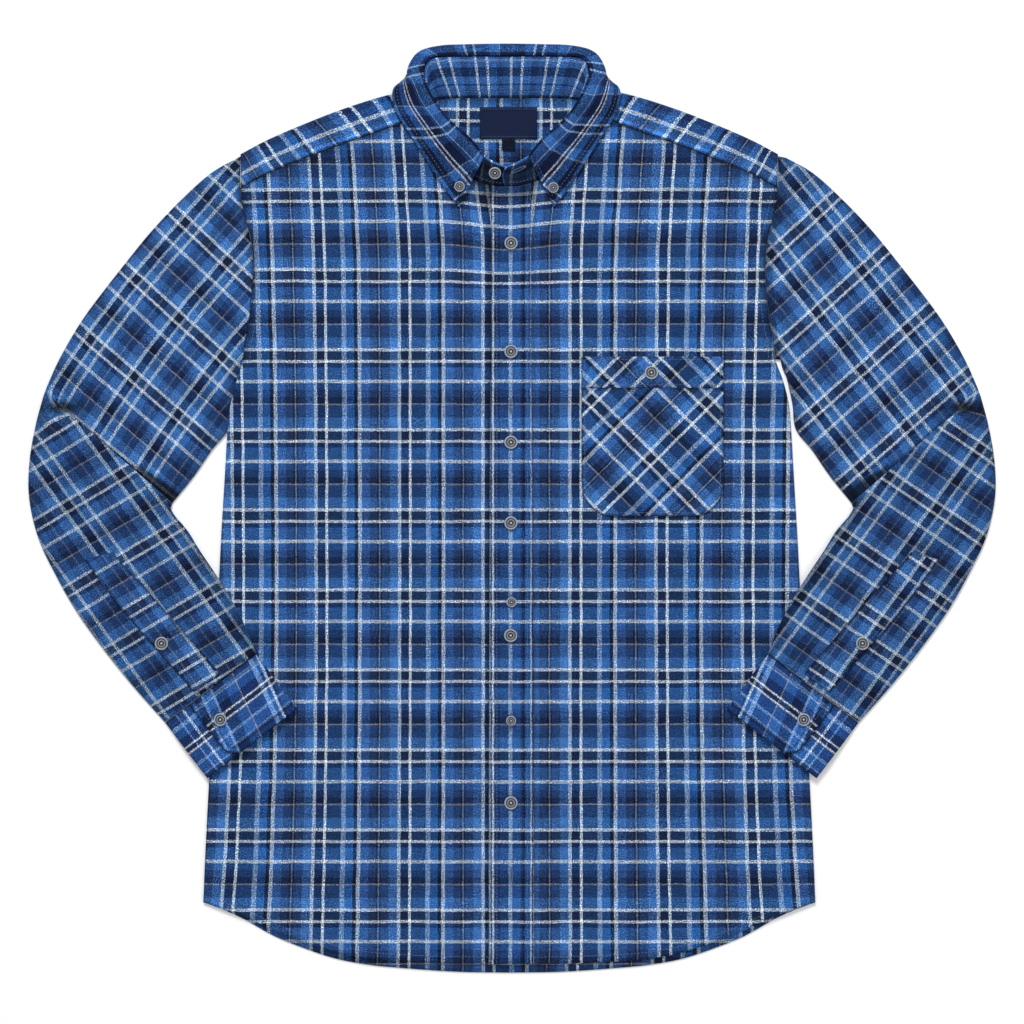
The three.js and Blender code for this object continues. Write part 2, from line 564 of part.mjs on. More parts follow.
function sleeve(sign) {
  const outer = [];
  const inner = [];
  SLEEVE.forEach((section, row) => {
    const spots = SHARES.map((share) => sleeveSpot(row, share));
    const xs = spots.map((spot) => sleeveX(sign, spot, row));
    const last = SHARES.length - 1;
    const length = Math.hypot(xs[last] - xs[0], spots[last].y - spots[0].y);
    const ux = (xs[last] - xs[0]) / length;
    const uy = (spots[last].y - spots[0].y) / length;
    const ring = (inset) => {
      const top = [];
      const under = [];
      SHARES.forEach((share, k) => {
        const push = k === 0 ? inset : (k === last ? -inset : 0);
        const x = xs[k] + ux * push;
        const y = spots[k].y + uy * push;
        const rest = section.over * restHeight(xs[k], spots[k].y);
        top.push(new THREE.Vector3(x, y, sleeveTop(spots[k], share, xs[k]) - inset));
        under.push(new THREE.Vector3(x, y, rest + inset));
      });
      return [...top, ...under.reverse()];
    };
    outer.push(ring(0));
    inner.push(ring(CLOTH));
  });
  return openTube(outer, inner);
}

// Cuff: a flattened band whose upper layer has an overlapping flap
const CUFF_SHARES = [0, 0.12, 0.28, CUFF_FLAP_SHARE - 0.01, CUFF_FLAP_SHARE, 0.6, 0.78, 0.9, 1];

function cuffTop(sign, section, share) {
  const x = sign * mix(section.outX, section.inX, share);
  const y = mix(section.outY, section.inY, share);
  const flap = share < CUFF_FLAP_SHARE - 0.005 ? 0 : 0.9;
  return restHeight(x, y) + 2 * DOUBLED + SEAM + section.puff * bulge(share) + flap * bulge(share);
}

function cuff(sign) {
  const outer = [];
  const inner = [];
  for (const section of CUFF) {
    const dx = section.inX - section.outX;
    const dy = section.inY - section.outY;
    const length = Math.hypot(dx, dy);
    const ring = (inset) => {
      const top = [];
      const under = [];
      CUFF_SHARES.forEach((share, k) => {
        const push = k === 0 ? inset : (k === CUFF_SHARES.length - 1 ? -inset : 0);
        const x = sign * (section.outX + dx * share + dx / length * push);
        const y = section.outY + dy * share + dy / length * push;
        const level = restHeight(sign * (section.outX + dx * share), section.outY + dy * share);
        const height = cuffTop(sign, section, share);
        top.push(new THREE.Vector3(x, y, height - inset - (inset && share > CUFF_FLAP_SHARE ? 0.6 : 0)));
        under.push(new THREE.Vector3(x, y, level + inset));
      });
      return [...top, ...under.reverse()];
    };
    outer.push(ring(0));
    inner.push(ring(DOUBLED));
  }
  return openTube(outer, inner);
}

// A piece laid on another: rows of places, lifted clear of the top surface below it
function laidOn(rows, topOf, thickness) {
  const near = rows.map((row) => row.map((p) => new THREE.Vector3(p.x, p.y, topOf(p.x, p.y) + LAYER + thickness)));
  const far = rows.map((row) => row.map((p) => new THREE.Vector3(p.x, p.y, topOf(p.x, p.y) + LAYER)));
  return closedWall(near, far);
}

function placket() {
  const rows = FRONT_ROWS.map((sideY) => LAP_SHARES.map((share) => panelPoint(share, sideY, frontTopEdge, 'front')));
  return laidOn(rows, frontLeftTop, CLOTH);
}

// Chest pocket: straight top, sides, and a bottom with rounded corners
function pocketRows(top, bottom, rounded) {
  const rows = [];
  const across = [0, 0.035, 0.09, 0.16, 0.3, 0.5, 0.7, 0.84, 0.91, 0.965, 1];
  const count = rounded ? 6 : 3;
  for (let i = 0; i < count; i += 1) {
    rows.push(across.map((t) => {
      const x = mix(POCKET.left, POCKET.right, t);
      const fromSide = Math.min(x - POCKET.left, POCKET.right - x);
      const r = POCKET.corner;
      const cut = rounded && fromSide < r ? r - Math.sqrt(Math.max(0, r * r - (r - fromSide) ** 2)) : 0;
      return { x, y: mix(top, bottom + cut, i / (count - 1)) };
    }));
  }
  return rows;
}

function gauntlet(sign) {
  const near = [];
  const far = [];
  for (const row of GAUNTLET) {
    const nearRow = [];
    const farRow = [];
    for (let k = 0; k <= 3; k += 1) {
      const share = mix(row.from, row.to, k / 3);
      const spot = sleeveSpot(row.row, share);
      const x = sleeveX(sign, spot, row.row);
      const top = sleeveTop(spot, share, x) + 2 * LAYER;
      nearRow.push(new THREE.Vector3(x, spot.y, top + CLOTH));
      farRow.push(new THREE.Vector3(x, spot.y, top));
    }
    near.push(nearRow);
    far.push(farRow);
  }
  return closedWall(near, far);
}

// Dished button with a raised rim
function button(diameter) {
  const r = diameter / 2;
  const h = BUTTON_THICKNESS;
  const profile = [
    new THREE.Vector2(0, 0),
    new THREE.Vector2(r * 0.72, 0),
    new THREE.Vector2(r, h * 0.45),
    new THREE.Vector2(r * 0.94, h * 0.9),
    new THREE.Vector2(r * 0.8, h),
    new THREE.Vector2(r * 0.62, h * 0.72),
    new THREE.Vector2(0, h * 0.66),
  ];
  const geometry = new THREE.LatheGeometry(profile, 14);
  geometry.rotateX(Math.PI / 2);
  return geometry;
}

// Seats a button on the cloth under it: turned to the cloth's slope and clear of its highest spot
function seat(mesh, cloth, x, y, radius) {
  const ray = new THREE.Raycaster();
  const below = (px, py) => {
    ray.set(new THREE.Vector3(px, py, 200), new THREE.Vector3(0, 0, -1));
    return ray.intersectObject(cloth)[0];
  };
  const normal = new THREE.Vector3();
  const spots = [below(x, y)];
  for (const share of [0.45, 0.8, 1]) {
    for (let k = 0; k < 12; k += 1) {
      const angle = (k / 12) * 2 * Math.PI;
      const hit = below(x + Math.cos(angle) * radius * share, y + Math.sin(angle) * radius * share);
      if (hit) spots.push(hit);
    }
  }
  spots.forEach((hit) => normal.add(hit.face.normal));
  normal.normalize();
  const centre = spots[0].point;
  const highest = Math.max(...spots.map((hit) => hit.point.clone().sub(centre).dot(normal)));
  mesh.quaternion.setFromUnitVectors(new THREE.Vector3(0, 0, 1), normal);
  mesh.position.copy(centre).addScaledVector(normal, highest + LAYER);
}

const CLOTH_COLOURS = { body: 0x35578c, inside: 0x2f4f80, label: 0x18233f, tab: 0xe8e6de, button: 0x9aa2ab };
const shirt = new THREE.Group();
shirt.name = 'flannel_shirt';

function add(name, geometry, colour = CLOTH_COLOURS.body, roughness = 0.95) {
  const material = new THREE.MeshStandardMaterial({ color: colour, roughness, metalness: 0 });
  const mesh = new THREE.Mesh(geometry, material);
  mesh.name = name;
  shirt.add(mesh);
  return mesh;
}

add('back', backPanel());
add('front_right', frontPanel(RIGHT_SHARES, frontTop));
add('front_left', frontPanel(LEFT_SHARES, frontLeftTop));
add('front_placket', placket());
add('yoke', thickened(yokeMiddle(), CLOTH));
add('collar_band', thickened(bandMiddle(), DOUBLED));
add('collar_leaf', thickened(leafMiddle(), DOUBLED));
add('pocket', laidOn(pocketRows(POCKET.bandBottom - SEAM, POCKET.bottom, true), frontLeftTop, CLOTH));
add('pocket_band', laidOn(pocketRows(POCKET.top, POCKET.bandBottom, false), frontLeftTop, DOUBLED));
add('sleeve_right', sleeve(-1));
add('sleeve_left', sleeve(1));
add('cuff_right', cuff(-1));
add('cuff_left', cuff(1));
add('sleeve_placket_right', gauntlet(-1));
add('sleeve_placket_left', gauntlet(1));

// Label and tab lie on the inside of the yoke, below the back neck seam
const insideTop = () => 0.6 + 2.3 + CLOTH / 2;
const flatRows = (box, count) => [0, 0.5, 1].map((v) => Array.from({ length: count }, (_, k) => ({
  x: mix(box.left, box.right, k / (count - 1)),
  y: mix(box.top, box.bottom, v),
})));
add('label', laidOn(flatRows(LABEL, 3), insideTop, 1.0), CLOTH_COLOURS.label, 0.6);
add('size_tab', laidOn(flatRows(TAB, 2), insideTop, 1.0), CLOTH_COLOURS.tab, 0.7);

for (const item of BUTTONS) {
  const mesh = add(item.name, button(item.diameter), CLOTH_COLOURS.button, 0.4);
  seat(mesh, shirt.getObjectByName(item.on), item.x, item.y, item.diameter / 2);
}

export default shirt;
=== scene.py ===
# %% [markdown]
# # A flannel shirt, laid flat
# The shirt lies on its back with its front up. Cloth that lies flat is a thin shell: every panel
# here is a fine grid, moved onto the form of its CAD solid, with creases pressed into it and a
# Solidify modifier for its thickness. Sizes are written in millimetres and turned to metres last.

# %% The frame, and what every cell uses
import math

import bmesh
import bpy
from mathutils import Matrix, Vector, noise
from mathutils.bvhtree import BVHTree


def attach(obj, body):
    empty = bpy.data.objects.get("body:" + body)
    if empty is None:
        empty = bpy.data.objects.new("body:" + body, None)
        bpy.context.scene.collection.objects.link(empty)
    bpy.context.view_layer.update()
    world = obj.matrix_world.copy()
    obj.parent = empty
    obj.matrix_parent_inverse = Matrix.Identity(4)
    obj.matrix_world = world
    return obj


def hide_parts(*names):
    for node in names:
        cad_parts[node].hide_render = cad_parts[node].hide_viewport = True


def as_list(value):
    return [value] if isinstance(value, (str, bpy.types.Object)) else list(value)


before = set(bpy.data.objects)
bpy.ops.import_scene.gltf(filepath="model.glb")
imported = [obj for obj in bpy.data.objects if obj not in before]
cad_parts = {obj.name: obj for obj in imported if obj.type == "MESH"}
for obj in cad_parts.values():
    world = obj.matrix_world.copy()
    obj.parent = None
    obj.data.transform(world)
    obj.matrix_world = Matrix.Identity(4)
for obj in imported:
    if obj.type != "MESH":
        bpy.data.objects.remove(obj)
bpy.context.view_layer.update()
MM = 0.001

# %% [markdown]
# ## Light, floor and camera
# The photograph is taken from straight above, with light so soft that there is almost no shadow.
# A pale world fills from all round. One large lamp above the collar gives the creases a lit and a
# dark side, and puts the shade below cuffs and collar; one straight overhead would flatten them.

# %% Camera straight above, floor, soft light
scene = bpy.context.scene
scene.view_settings.view_transform = "Standard"

PHOTO_PIXELS, PIXEL_MM, PHOTO_MIDDLE_Y = 1024, 0.92, -3.2
camera_data = bpy.data.cameras.new("overhead")
camera_data.lens = 100
camera_data.sensor_width = 36
camera = bpy.data.objects.new("overhead", camera_data)
scene.collection.objects.link(camera)
camera_height = PHOTO_PIXELS * PIXEL_MM * MM * camera_data.lens / camera_data.sensor_width
camera.location = (0, PHOTO_MIDDLE_Y * MM, camera_height)
scene.camera = camera
print("camera height, m:", round(camera_height, 3))

world = bpy.data.worlds.new("studio")
scene.world = world
world.use_nodes = True
sky = world.node_tree.nodes["Background"].inputs
sky["Color"].default_value = (1.0, 1.0, 1.0, 1)
sky["Strength"].default_value = 0.47


def soft_lamp(name, place, size, power):
    lamp = bpy.data.lights.new(name, "AREA")
    lamp.size = size
    lamp.energy = power
    lamp_object = bpy.data.objects.new(name, lamp)
    lamp_object.location = place
    lamp_object.rotation_euler = (-Vector(place)).to_track_quat("-Z", "Y").to_euler()
    scene.collection.objects.link(lamp_object)


soft_lamp("key", (-0.6, 3.0, 3.2), 1.3, 138)
soft_lamp("fill", (1.4, -1.2, 2.4), 1.6, 13)


def mesh_object(name, bm, materials):
    """An object at the origin from a finished bmesh."""
    data = bpy.data.meshes.new(name)
    bm.to_mesh(data)
    bm.free()
    for material in materials:
        data.materials.append(material)
    made = bpy.data.objects.new(name, data)
    scene.collection.objects.link(made)
    return made


floor_paint = bpy.data.materials.new("pale floor")
floor_paint.use_nodes = True
for key, value in {"Base Color": (0.93, 0.93, 0.93, 1), "Roughness": 0.9,
                   "Emission Color": (1, 1, 1, 1), "Emission Strength": 0.09}.items():
    floor_paint.node_tree.nodes["Principled BSDF"].inputs[key].default_value = value
floor_grid = bmesh.new()
bmesh.ops.create_grid(floor_grid, x_segments=1, y_segments=1, size=4)
floor = mesh_object("floor", floor_grid, [floor_paint])

# %% [markdown]
# ## The flannel
# Yarn-dyed check: coloured yarns run down the cloth (the warp) and across it (the weft), and each
# square shows a mix of the two that cross there. An image of the check would be the quick way. It
# is charted here instead, as a weaver would, in two lists of bands. A constant Color Ramp
# holds each list, and its alpha says how strongly a band shows where it crosses another one.
# Colours are written as a screen shows them, mixed as such, and a Gamma node turns them to light;
# at 2.15 it keeps the whites and takes a little from the blues, as brushed cloth does.

# %% The charts: width in mm, colour, strength
WARP = [
    ("white one", 2.9, (0.76, 0.84, 0.93), 1.9),
    ("navy", 7.0, (0.07, 0.14, 0.27), 1.0),
    ("white two", 2.6, (0.88, 0.93, 0.97), 2.7),
    ("middle blue", 13.0, (0.11, 0.23, 0.40), 1.0),
    ("pale blue", 4.1, (0.58, 0.70, 0.86), 1.5),
    ("bright blue", 6.9, (0.15, 0.37, 0.66), 1.0),
    ("black navy", 3.3, (0.06, 0.09, 0.15), 1.5),
    ("white three", 3.3, (0.76, 0.82, 0.89), 1.9),
    ("bright blue", 7.6, (0.21, 0.37, 0.63), 1.0),
    ("dusty navy", 6.6, (0.14, 0.22, 0.37), 1.0),
    ("dark fleck", 1.6, (0.08, 0.10, 0.17), 1.2),
    ("pale fleck", 1.4, (0.50, 0.54, 0.60), 1.4),
    ("dark fleck", 1.5, (0.09, 0.11, 0.19), 1.2),
    ("dusty blue", 7.0, (0.16, 0.27, 0.45), 1.0),
    ("sky blue", 7.7, (0.27, 0.47, 0.75), 1.0),
]
WEFT = [
    ("white one", 2.8, (0.84, 0.89, 0.96), 2.2),
    ("grey navy", 7.8, (0.12, 0.17, 0.28), 1.1),
    ("warm white", 2.7, (0.86, 0.88, 0.92), 2.2),
    ("deep blue", 4.3, (0.08, 0.17, 0.35), 1.0),
    ("bright blue", 11.1, (0.22, 0.41, 0.69), 1.0),
    ("white three", 3.1, (0.80, 0.86, 0.94), 2.0),
    ("middle blue", 6.2, (0.18, 0.35, 0.61), 1.0),
    ("dusty blue", 6.6, (0.14, 0.22, 0.40), 1.0),
    ("dark navy", 5.6, (0.07, 0.10, 0.19), 1.1),
    ("fleck", 1.3, (0.56, 0.54, 0.57), 1.6),
    ("dusty blue", 11.5, (0.15, 0.26, 0.46), 1.0),
    ("sky blue", 9.8, (0.27, 0.48, 0.77), 1.0),
]
SLEEVE_WARP = [
    ("white one", 3.2, (0.74, 0.83, 0.92), 1.8),
    ("deep navy", 7.2, (0.06, 0.13, 0.26), 1.2),
    ("thin white", 2.4, (0.68, 0.77, 0.88), 1.6),
    ("sky blue", 6.4, (0.24, 0.44, 0.70), 1.0),
    ("white two", 2.9, (0.76, 0.84, 0.92), 1.9),
    ("bright blue", 7.0, (0.20, 0.38, 0.64), 1.0),
    ("dusty navy", 7.0, (0.14, 0.24, 0.42), 1.0),
    ("fleck", 1.8, (0.36, 0.42, 0.52), 1.2),
    ("dusty navy", 6.0, (0.13, 0.22, 0.40), 1.0),
    ("sky blue", 8.9, (0.27, 0.46, 0.73), 1.0),
]
LEAF_WEFT = [
    ("bright blue", 6.5, (0.22, 0.40, 0.66), 1.0),
    ("pale blue", 2.4, (0.62, 0.73, 0.87), 1.7),
    ("middle blue", 5.5, (0.15, 0.30, 0.54), 1.0),
    ("dark navy", 7.5, (0.07, 0.12, 0.24), 1.1),
    ("cream", 1.5, (0.78, 0.80, 0.84), 2.2),
    ("dark gap", 2.4, (0.12, 0.16, 0.26), 1.2),
    ("cream", 1.5, (0.78, 0.80, 0.84), 2.2),
    ("bright blue", 6.5, (0.20, 0.38, 0.65), 1.0),
    ("dark navy", 7.0, (0.07, 0.12, 0.24), 1.1),
    ("sky blue", 5.5, (0.26, 0.45, 0.72), 1.0),
]
LEAF_WARP = [
    ("dark navy", 13.0, (0.05, 0.09, 0.19), 1.3),
    ("middle blue", 8.0, (0.13, 0.26, 0.47), 1.0),
    ("thin white", 2.0, (0.64, 0.72, 0.83), 1.4),
    ("deep navy", 6.6, (0.06, 0.11, 0.22), 1.2),
    ("thin white", 2.0, (0.60, 0.68, 0.79), 1.3),
    ("deep blue", 13.0, (0.09, 0.18, 0.36), 1.1),
    ("bright blue", 9.0, (0.18, 0.36, 0.62), 0.9),
    ("pale thread", 1.3, (0.48, 0.54, 0.64), 1.3),
    ("dark navy", 11.0, (0.06, 0.11, 0.23), 1.2),
]
BAND_WARP = [
    ("white", 2.3, (0.74, 0.81, 0.90), 1.9),
    ("middle blue", 7.4, (0.16, 0.32, 0.55), 1.0),
    ("white", 2.3, (0.74, 0.81, 0.90), 1.8),
    ("bright blue", 7.0, (0.20, 0.39, 0.66), 1.0),
    ("deep blue", 6.0, (0.12, 0.23, 0.43), 1.0),
    ("middle blue", 6.0, (0.17, 0.32, 0.55), 1.0),
]
BAND_WEFT = [
    # This first band falls on the band's lower edge: painted shade along its seam, not a yarn.
    ("painted seam shade", 1.6, (0.07, 0.13, 0.26), 1.2),
    ("bright blue", 8.4, (0.22, 0.36, 0.59), 1.0),
    ("deep line", 1.6, (0.06, 0.12, 0.25), 1.3),
    ("bright blue", 6.5, (0.23, 0.38, 0.61), 1.0),
    ("dark navy", 8.5, (0.06, 0.11, 0.21), 1.5),
    ("bright blue", 5.5, (0.22, 0.36, 0.59), 1.0),
    ("pale blue", 2.2, (0.46, 0.60, 0.80), 1.2),
    ("bright blue", 7.7, (0.19, 0.36, 0.62), 1.0),
]
PLACKET_WARP = [
    ("cream", 1.8, (0.82, 0.86, 0.90), 2.3),
    ("deep blue", 4.0, (0.11, 0.21, 0.38), 1.0),
    ("navy row", 1.2, (0.07, 0.12, 0.24), 1.0),
    ("middle blue", 8.2, (0.13, 0.26, 0.46), 1.0),
    ("pale stripe", 3.4, (0.64, 0.75, 0.88), 1.6),
    ("bright blue", 7.5, (0.16, 0.34, 0.61), 1.0),
    ("deep blue", 1.6, (0.10, 0.20, 0.38), 1.0),
    ("black navy", 2.6, (0.06, 0.09, 0.16), 1.5),
    ("bright blue", 4.8, (0.19, 0.37, 0.64), 1.0),
    ("thin white", 1.7, (0.74, 0.82, 0.90), 1.6),
    ("navy", 1.2, (0.08, 0.15, 0.29), 1.0),
]
CUFF_WARP = [
    ("deep blue", 10.0, (0.10, 0.20, 0.38), 1.0),
    ("pale blue", 2.0, (0.44, 0.58, 0.78), 1.2),
    ("middle blue", 6.0, (0.15, 0.29, 0.52), 1.0),
    ("white", 2.4, (0.74, 0.80, 0.88), 1.7),
    ("middle blue", 9.6, (0.15, 0.30, 0.54), 1.0),
    ("dark navy", 7.0, (0.08, 0.13, 0.25), 1.1),
    ("pale blue", 2.6, (0.46, 0.60, 0.80), 1.2),
    ("bright blue", 8.0, (0.20, 0.38, 0.65), 1.0),
    ("pale blue", 2.4, (0.50, 0.63, 0.82), 1.3),
    ("dark navy", 12.0, (0.08, 0.14, 0.27), 1.1),
    ("middle blue", 11.0, (0.16, 0.31, 0.55), 1.0),
    ("tan thread", 1.3, (0.56, 0.53, 0.54), 1.5),
    ("deep blue", 17.7, (0.11, 0.22, 0.42), 1.0),
    ("pale blue", 4.6, (0.50, 0.65, 0.86), 1.4),
    ("bright blue", 3.8, (0.19, 0.37, 0.63), 1.0),
    ("white", 2.4, (0.74, 0.81, 0.90), 1.7),
    ("dark navy", 3.2, (0.08, 0.14, 0.28), 1.1),
]
CUFF_WEFT = [
    ("deep blue", 4.5, (0.11, 0.21, 0.40), 1.0),
    ("pale blue", 4.0, (0.46, 0.60, 0.80), 1.4),
    ("middle blue", 7.5, (0.16, 0.31, 0.55), 1.0),
    ("dark navy", 8.0, (0.08, 0.13, 0.25), 1.1),
    ("cream", 1.7, (0.80, 0.80, 0.80), 2.4),
    ("dark gap", 4.0, (0.10, 0.12, 0.18), 1.4),
    ("cream", 1.7, (0.80, 0.80, 0.80), 2.4),
    ("middle blue", 10.0, (0.15, 0.28, 0.50), 1.0),
    ("pale blue", 2.6, (0.46, 0.60, 0.80), 1.3),
    ("bright blue", 8.0, (0.19, 0.36, 0.62), 1.0),
    ("pale thread", 1.6, (0.42, 0.54, 0.72), 1.2),
    ("deep blue", 8.4, (0.10, 0.19, 0.36), 1.0),
]


STRONGEST = 3


def chart_length(chart):
    return sum(band[1] for band in chart)


charts = (WARP, WEFT, SLEEVE_WARP, LEAF_WARP, LEAF_WEFT, BAND_WARP, BAND_WEFT, PLACKET_WARP,
          CUFF_WARP, CUFF_WEFT)
print("repeats, mm:", [round(chart_length(chart), 1) for chart in charts])

# %% [markdown]
# A material is a tree of nodes. A Recipe starts one. Each of its methods adds a node, joins it to
# what feeds it and gives back the output to use next, so each line below reads as one step.

# %% Recipe for a material
class Recipe:
    def __init__(self, name):
        self.material = bpy.data.materials.new(name)
        self.material.use_nodes = True
        self.nodes = self.material.node_tree.nodes

    def fill(self, socket, value):
        if isinstance(value, bpy.types.NodeSocket):
            self.material.node_tree.links.new(value, socket)
        else:
            socket.default_value = value

    def add(self, kind, inputs, **settings):
        """A node with its settings made and its inputs filled, by name or by number."""
        step = self.nodes.new(kind)
        for key, value in settings.items():
            setattr(step, key, value)
        for key, value in inputs.items():
            self.fill(step.inputs[key], value)
        return step.outputs

    def sums(self, operation, *values):
        return self.add("ShaderNodeMath", dict(enumerate(values)), operation=operation)[0]

    def grain(self, vector, scale, detail=2.0, roughness=0.5):
        inputs = {"Vector": vector, "Scale": scale, "Detail": detail, "Roughness": roughness}
        return self.add("ShaderNodeTexNoise", inputs)["Fac"]

    def stretched(self, vector, scale):
        return self.add("ShaderNodeMapping", {"Vector": vector, "Scale": scale})["Vector"]

    def colour_mix(self, mode, share, a, b):
        inputs = {"Factor": share, 6: a, 7: b}
        return self.add("ShaderNodeMix", inputs, data_type="RGBA", blend_type=mode)[2]

    def grey(self, tone):
        return self.add("ShaderNodeCombineColor", {0: tone, 1: tone, 2: tone})[0]

    def place_on_cut(self):
        return self.add("ShaderNodeUVMap", {}, uv_map="cut")["UV"]

    def bands(self, place, chart):
        """Colour and strength of a chart's band at a place in millimetres."""
        length = chart_length(chart)
        share = self.sums("FRACT", self.sums("DIVIDE", place, length))
        step = self.nodes.new("ShaderNodeValToRGB")
        self.fill(step.inputs["Fac"], share)
        ramp = step.color_ramp
        ramp.interpolation = "CONSTANT"
        start = 0.0
        for k, (_, width, colour, strength) in enumerate(chart):
            stop = ramp.elements[k] if k < 2 else ramp.elements.new(start / length)
            stop.position = start / length
            stop.color = (*colour, strength / STRONGEST)
            start += width
        return step.outputs["Color"], step.outputs["Alpha"]

    def finish(self, colour, roughness, relief, strength, distance, more=None):
        """Fill the shader: its colour, roughness, a bump from the relief, and any other inputs."""
        shape = {"Strength": strength, "Distance": distance, "Height": relief}
        normal = self.add("ShaderNodeBump", shape)[0]
        inputs = {"Base Color": colour, "Roughness": roughness, "Normal": normal}
        for key, value in (inputs | (more or {})).items():
            self.fill(self.nodes["Principled BSDF"].inputs[key], value)
        return self.material


# %% [markdown]
# The recipe for one cut of flannel: a slight wander in the yarns, the two charts, twill and specks
# that let now the warp and now the weft come up, streaks along each yarn, and the brushed nap. Sheen
# stands for the pale fibres that catch light at a slant, and Bump raises the twill a little. Each
# piece also carries an attribute "shade" of painted shade: it darkens the cloth where it dives into
# a seam or under another layer, which is finer than the grid of points can form. Where it rises
# above 1 it is a painted highlight on an edge that catches the light.

# %% The flannel material
TWILL_PITCH, SCREEN_GAMMA = 2.1, 2.15


def flannel(name, warp=WARP, weft=WEFT, depth=0.935):
    cloth = Recipe(name)
    sums, grain, stretched = cloth.sums, cloth.grain, cloth.stretched
    spot = cloth.place_on_cut()
    x, y = cloth.add("ShaderNodeSeparateXYZ", {0: spot})[:2]

    wander_x = sums("MULTIPLY_ADD", grain(stretched(spot, (1, 1.6, 1)), 0.02, 1.0), 1.4, -0.7)
    wander_y = sums("MULTIPLY_ADD", grain(stretched(spot, (1.7, 1, 1)), 0.017, 1.0), 1.4, -0.7)
    fuzz = sums("MULTIPLY_ADD", grain(spot, 0.9, 2.0, 0.7), 1.5, -0.75)
    across = sums("ADD", sums("ADD", x, wander_x), fuzz)
    down = sums("ADD", sums("ADD", y, wander_y), fuzz)
    warp_colour, warp_strength = cloth.bands(across, warp)
    weft_colour, weft_strength = cloth.bands(down, weft)

    speck = grain(spot, 0.95, 1.5, 0.6)
    twill = sums("SINE", sums("MULTIPLY", sums("ADD", x, y), 2 * math.pi / TWILL_PITCH))
    nap = grain(spot, 0.75, 3.0, 0.65)
    share = sums("DIVIDE", weft_strength, sums("ADD", weft_strength, warp_strength))
    share = sums("MULTIPLY_ADD", twill, 0.12, share)
    share = sums("ADD", share, sums("MULTIPLY_ADD", speck, 3.0, -1.5))
    share = sums("MINIMUM", sums("MAXIMUM", share, 0.04), 0.96)
    check = cloth.colour_mix("MIX", share, warp_colour, weft_colour)

    warp_streak = grain(stretched(spot, (1.3, 0.09, 1)), 1.0, 2.0, 0.6)
    weft_streak = grain(stretched(spot, (0.09, 1.3, 1)), 1.0, 2.0, 0.6)
    patch = grain(spot, 0.045, 2.0, 0.55)
    fibre = grain(spot, 1.0, 2.0, 0.7)
    # Painted shade from each piece's "shade" attribute, and painted highlight where it is above 1
    shade = cloth.add("ShaderNodeAttribute", {}, attribute_name="shade")["Fac"]
    tone = sums("MULTIPLY_ADD", sums("ADD", warp_streak, weft_streak), 0.55, 0.45)
    tone = sums("MULTIPLY", tone, sums("MULTIPLY_ADD", patch, 0.36, 0.82))
    tone = sums("MULTIPLY", tone, sums("MULTIPLY_ADD", fibre, 3.0, -0.55))
    tone = sums("MULTIPLY", sums("MULTIPLY", tone, depth), shade)
    check = cloth.colour_mix("MULTIPLY", 1.0, check, cloth.grey(tone))
    light = cloth.add("ShaderNodeGamma", {"Color": check, "Gamma": SCREEN_GAMMA})[0]

    rough = sums("MULTIPLY_ADD", nap, 0.14, 0.84)
    relief = sums("MULTIPLY_ADD", twill, 0.25, sums("ADD", nap, warp_streak))
    return cloth.finish(
        light, rough, relief, 0.5, 0.0004,
        {"Specular IOR Level": 0.1, "Sheen Weight": 0.04, "Sheen Roughness": 0.55})


BODY_CLOTH = flannel("body flannel")
SLEEVE_CLOTH = flannel("sleeve flannel", warp=SLEEVE_WARP, depth=0.905)
CUFF_CLOTH = flannel("cuff flannel", warp=CUFF_WARP, weft=CUFF_WEFT, depth=1.10)
PLACKET_CLOTH = flannel("placket flannel", warp=PLACKET_WARP)
BAND_CLOTH = flannel("band flannel", warp=BAND_WARP, weft=BAND_WEFT, depth=0.94)
LEAF_CLOTH = flannel("collar flannel", warp=LEAF_WARP, weft=LEAF_WEFT, depth=0.95)
print("flannel nodes:", len(BODY_CLOTH.node_tree.nodes))

# %% [markdown]
# ## The shirt's form
# The tables below are the CAD model's own: the side edge, the hem, the shoulder. The solids join
# their rows with straight lines. Cloth is smoother, so a curve runs through the same rows here.

# %% Smooth tables
def smooth(t):
    t = min(1.0, max(0.0, t))
    return t * t * (3 - 2 * t)


def mix(a, b, t):
    return a + (b - a) * t


def bell(distance, width):
    """1 on a line, fading smoothly on both sides of it."""
    return math.exp(-(distance / width) ** 2)


def hermite(a, b, slope_a, slope_b, f):
    """From a to b as f goes from 0 to 1, with the slope given at each end."""
    f2, f3 = f * f, f * f * f
    return (a * (2 * f3 - 3 * f2 + 1) + slope_a * (f3 - 2 * f2 + f)
            + b * (3 * f2 - 2 * f3) + slope_b * (f3 - f2))


def through(points, t):
    """A smooth curve through evenly numbered values or vectors, at a place from 0 to 1."""
    last = len(points) - 1
    place = min(max(t, 0.0), 1.0) * last
    k = min(int(place), last - 1)
    a, b = points[k], points[k + 1]
    before = points[k - 1] if k > 0 else a + (a - b)
    after = points[k + 2] if k + 2 <= last else b + (b - a)
    return hermite(a, b, (b - before) * 0.5, (after - a) * 0.5, place - k)


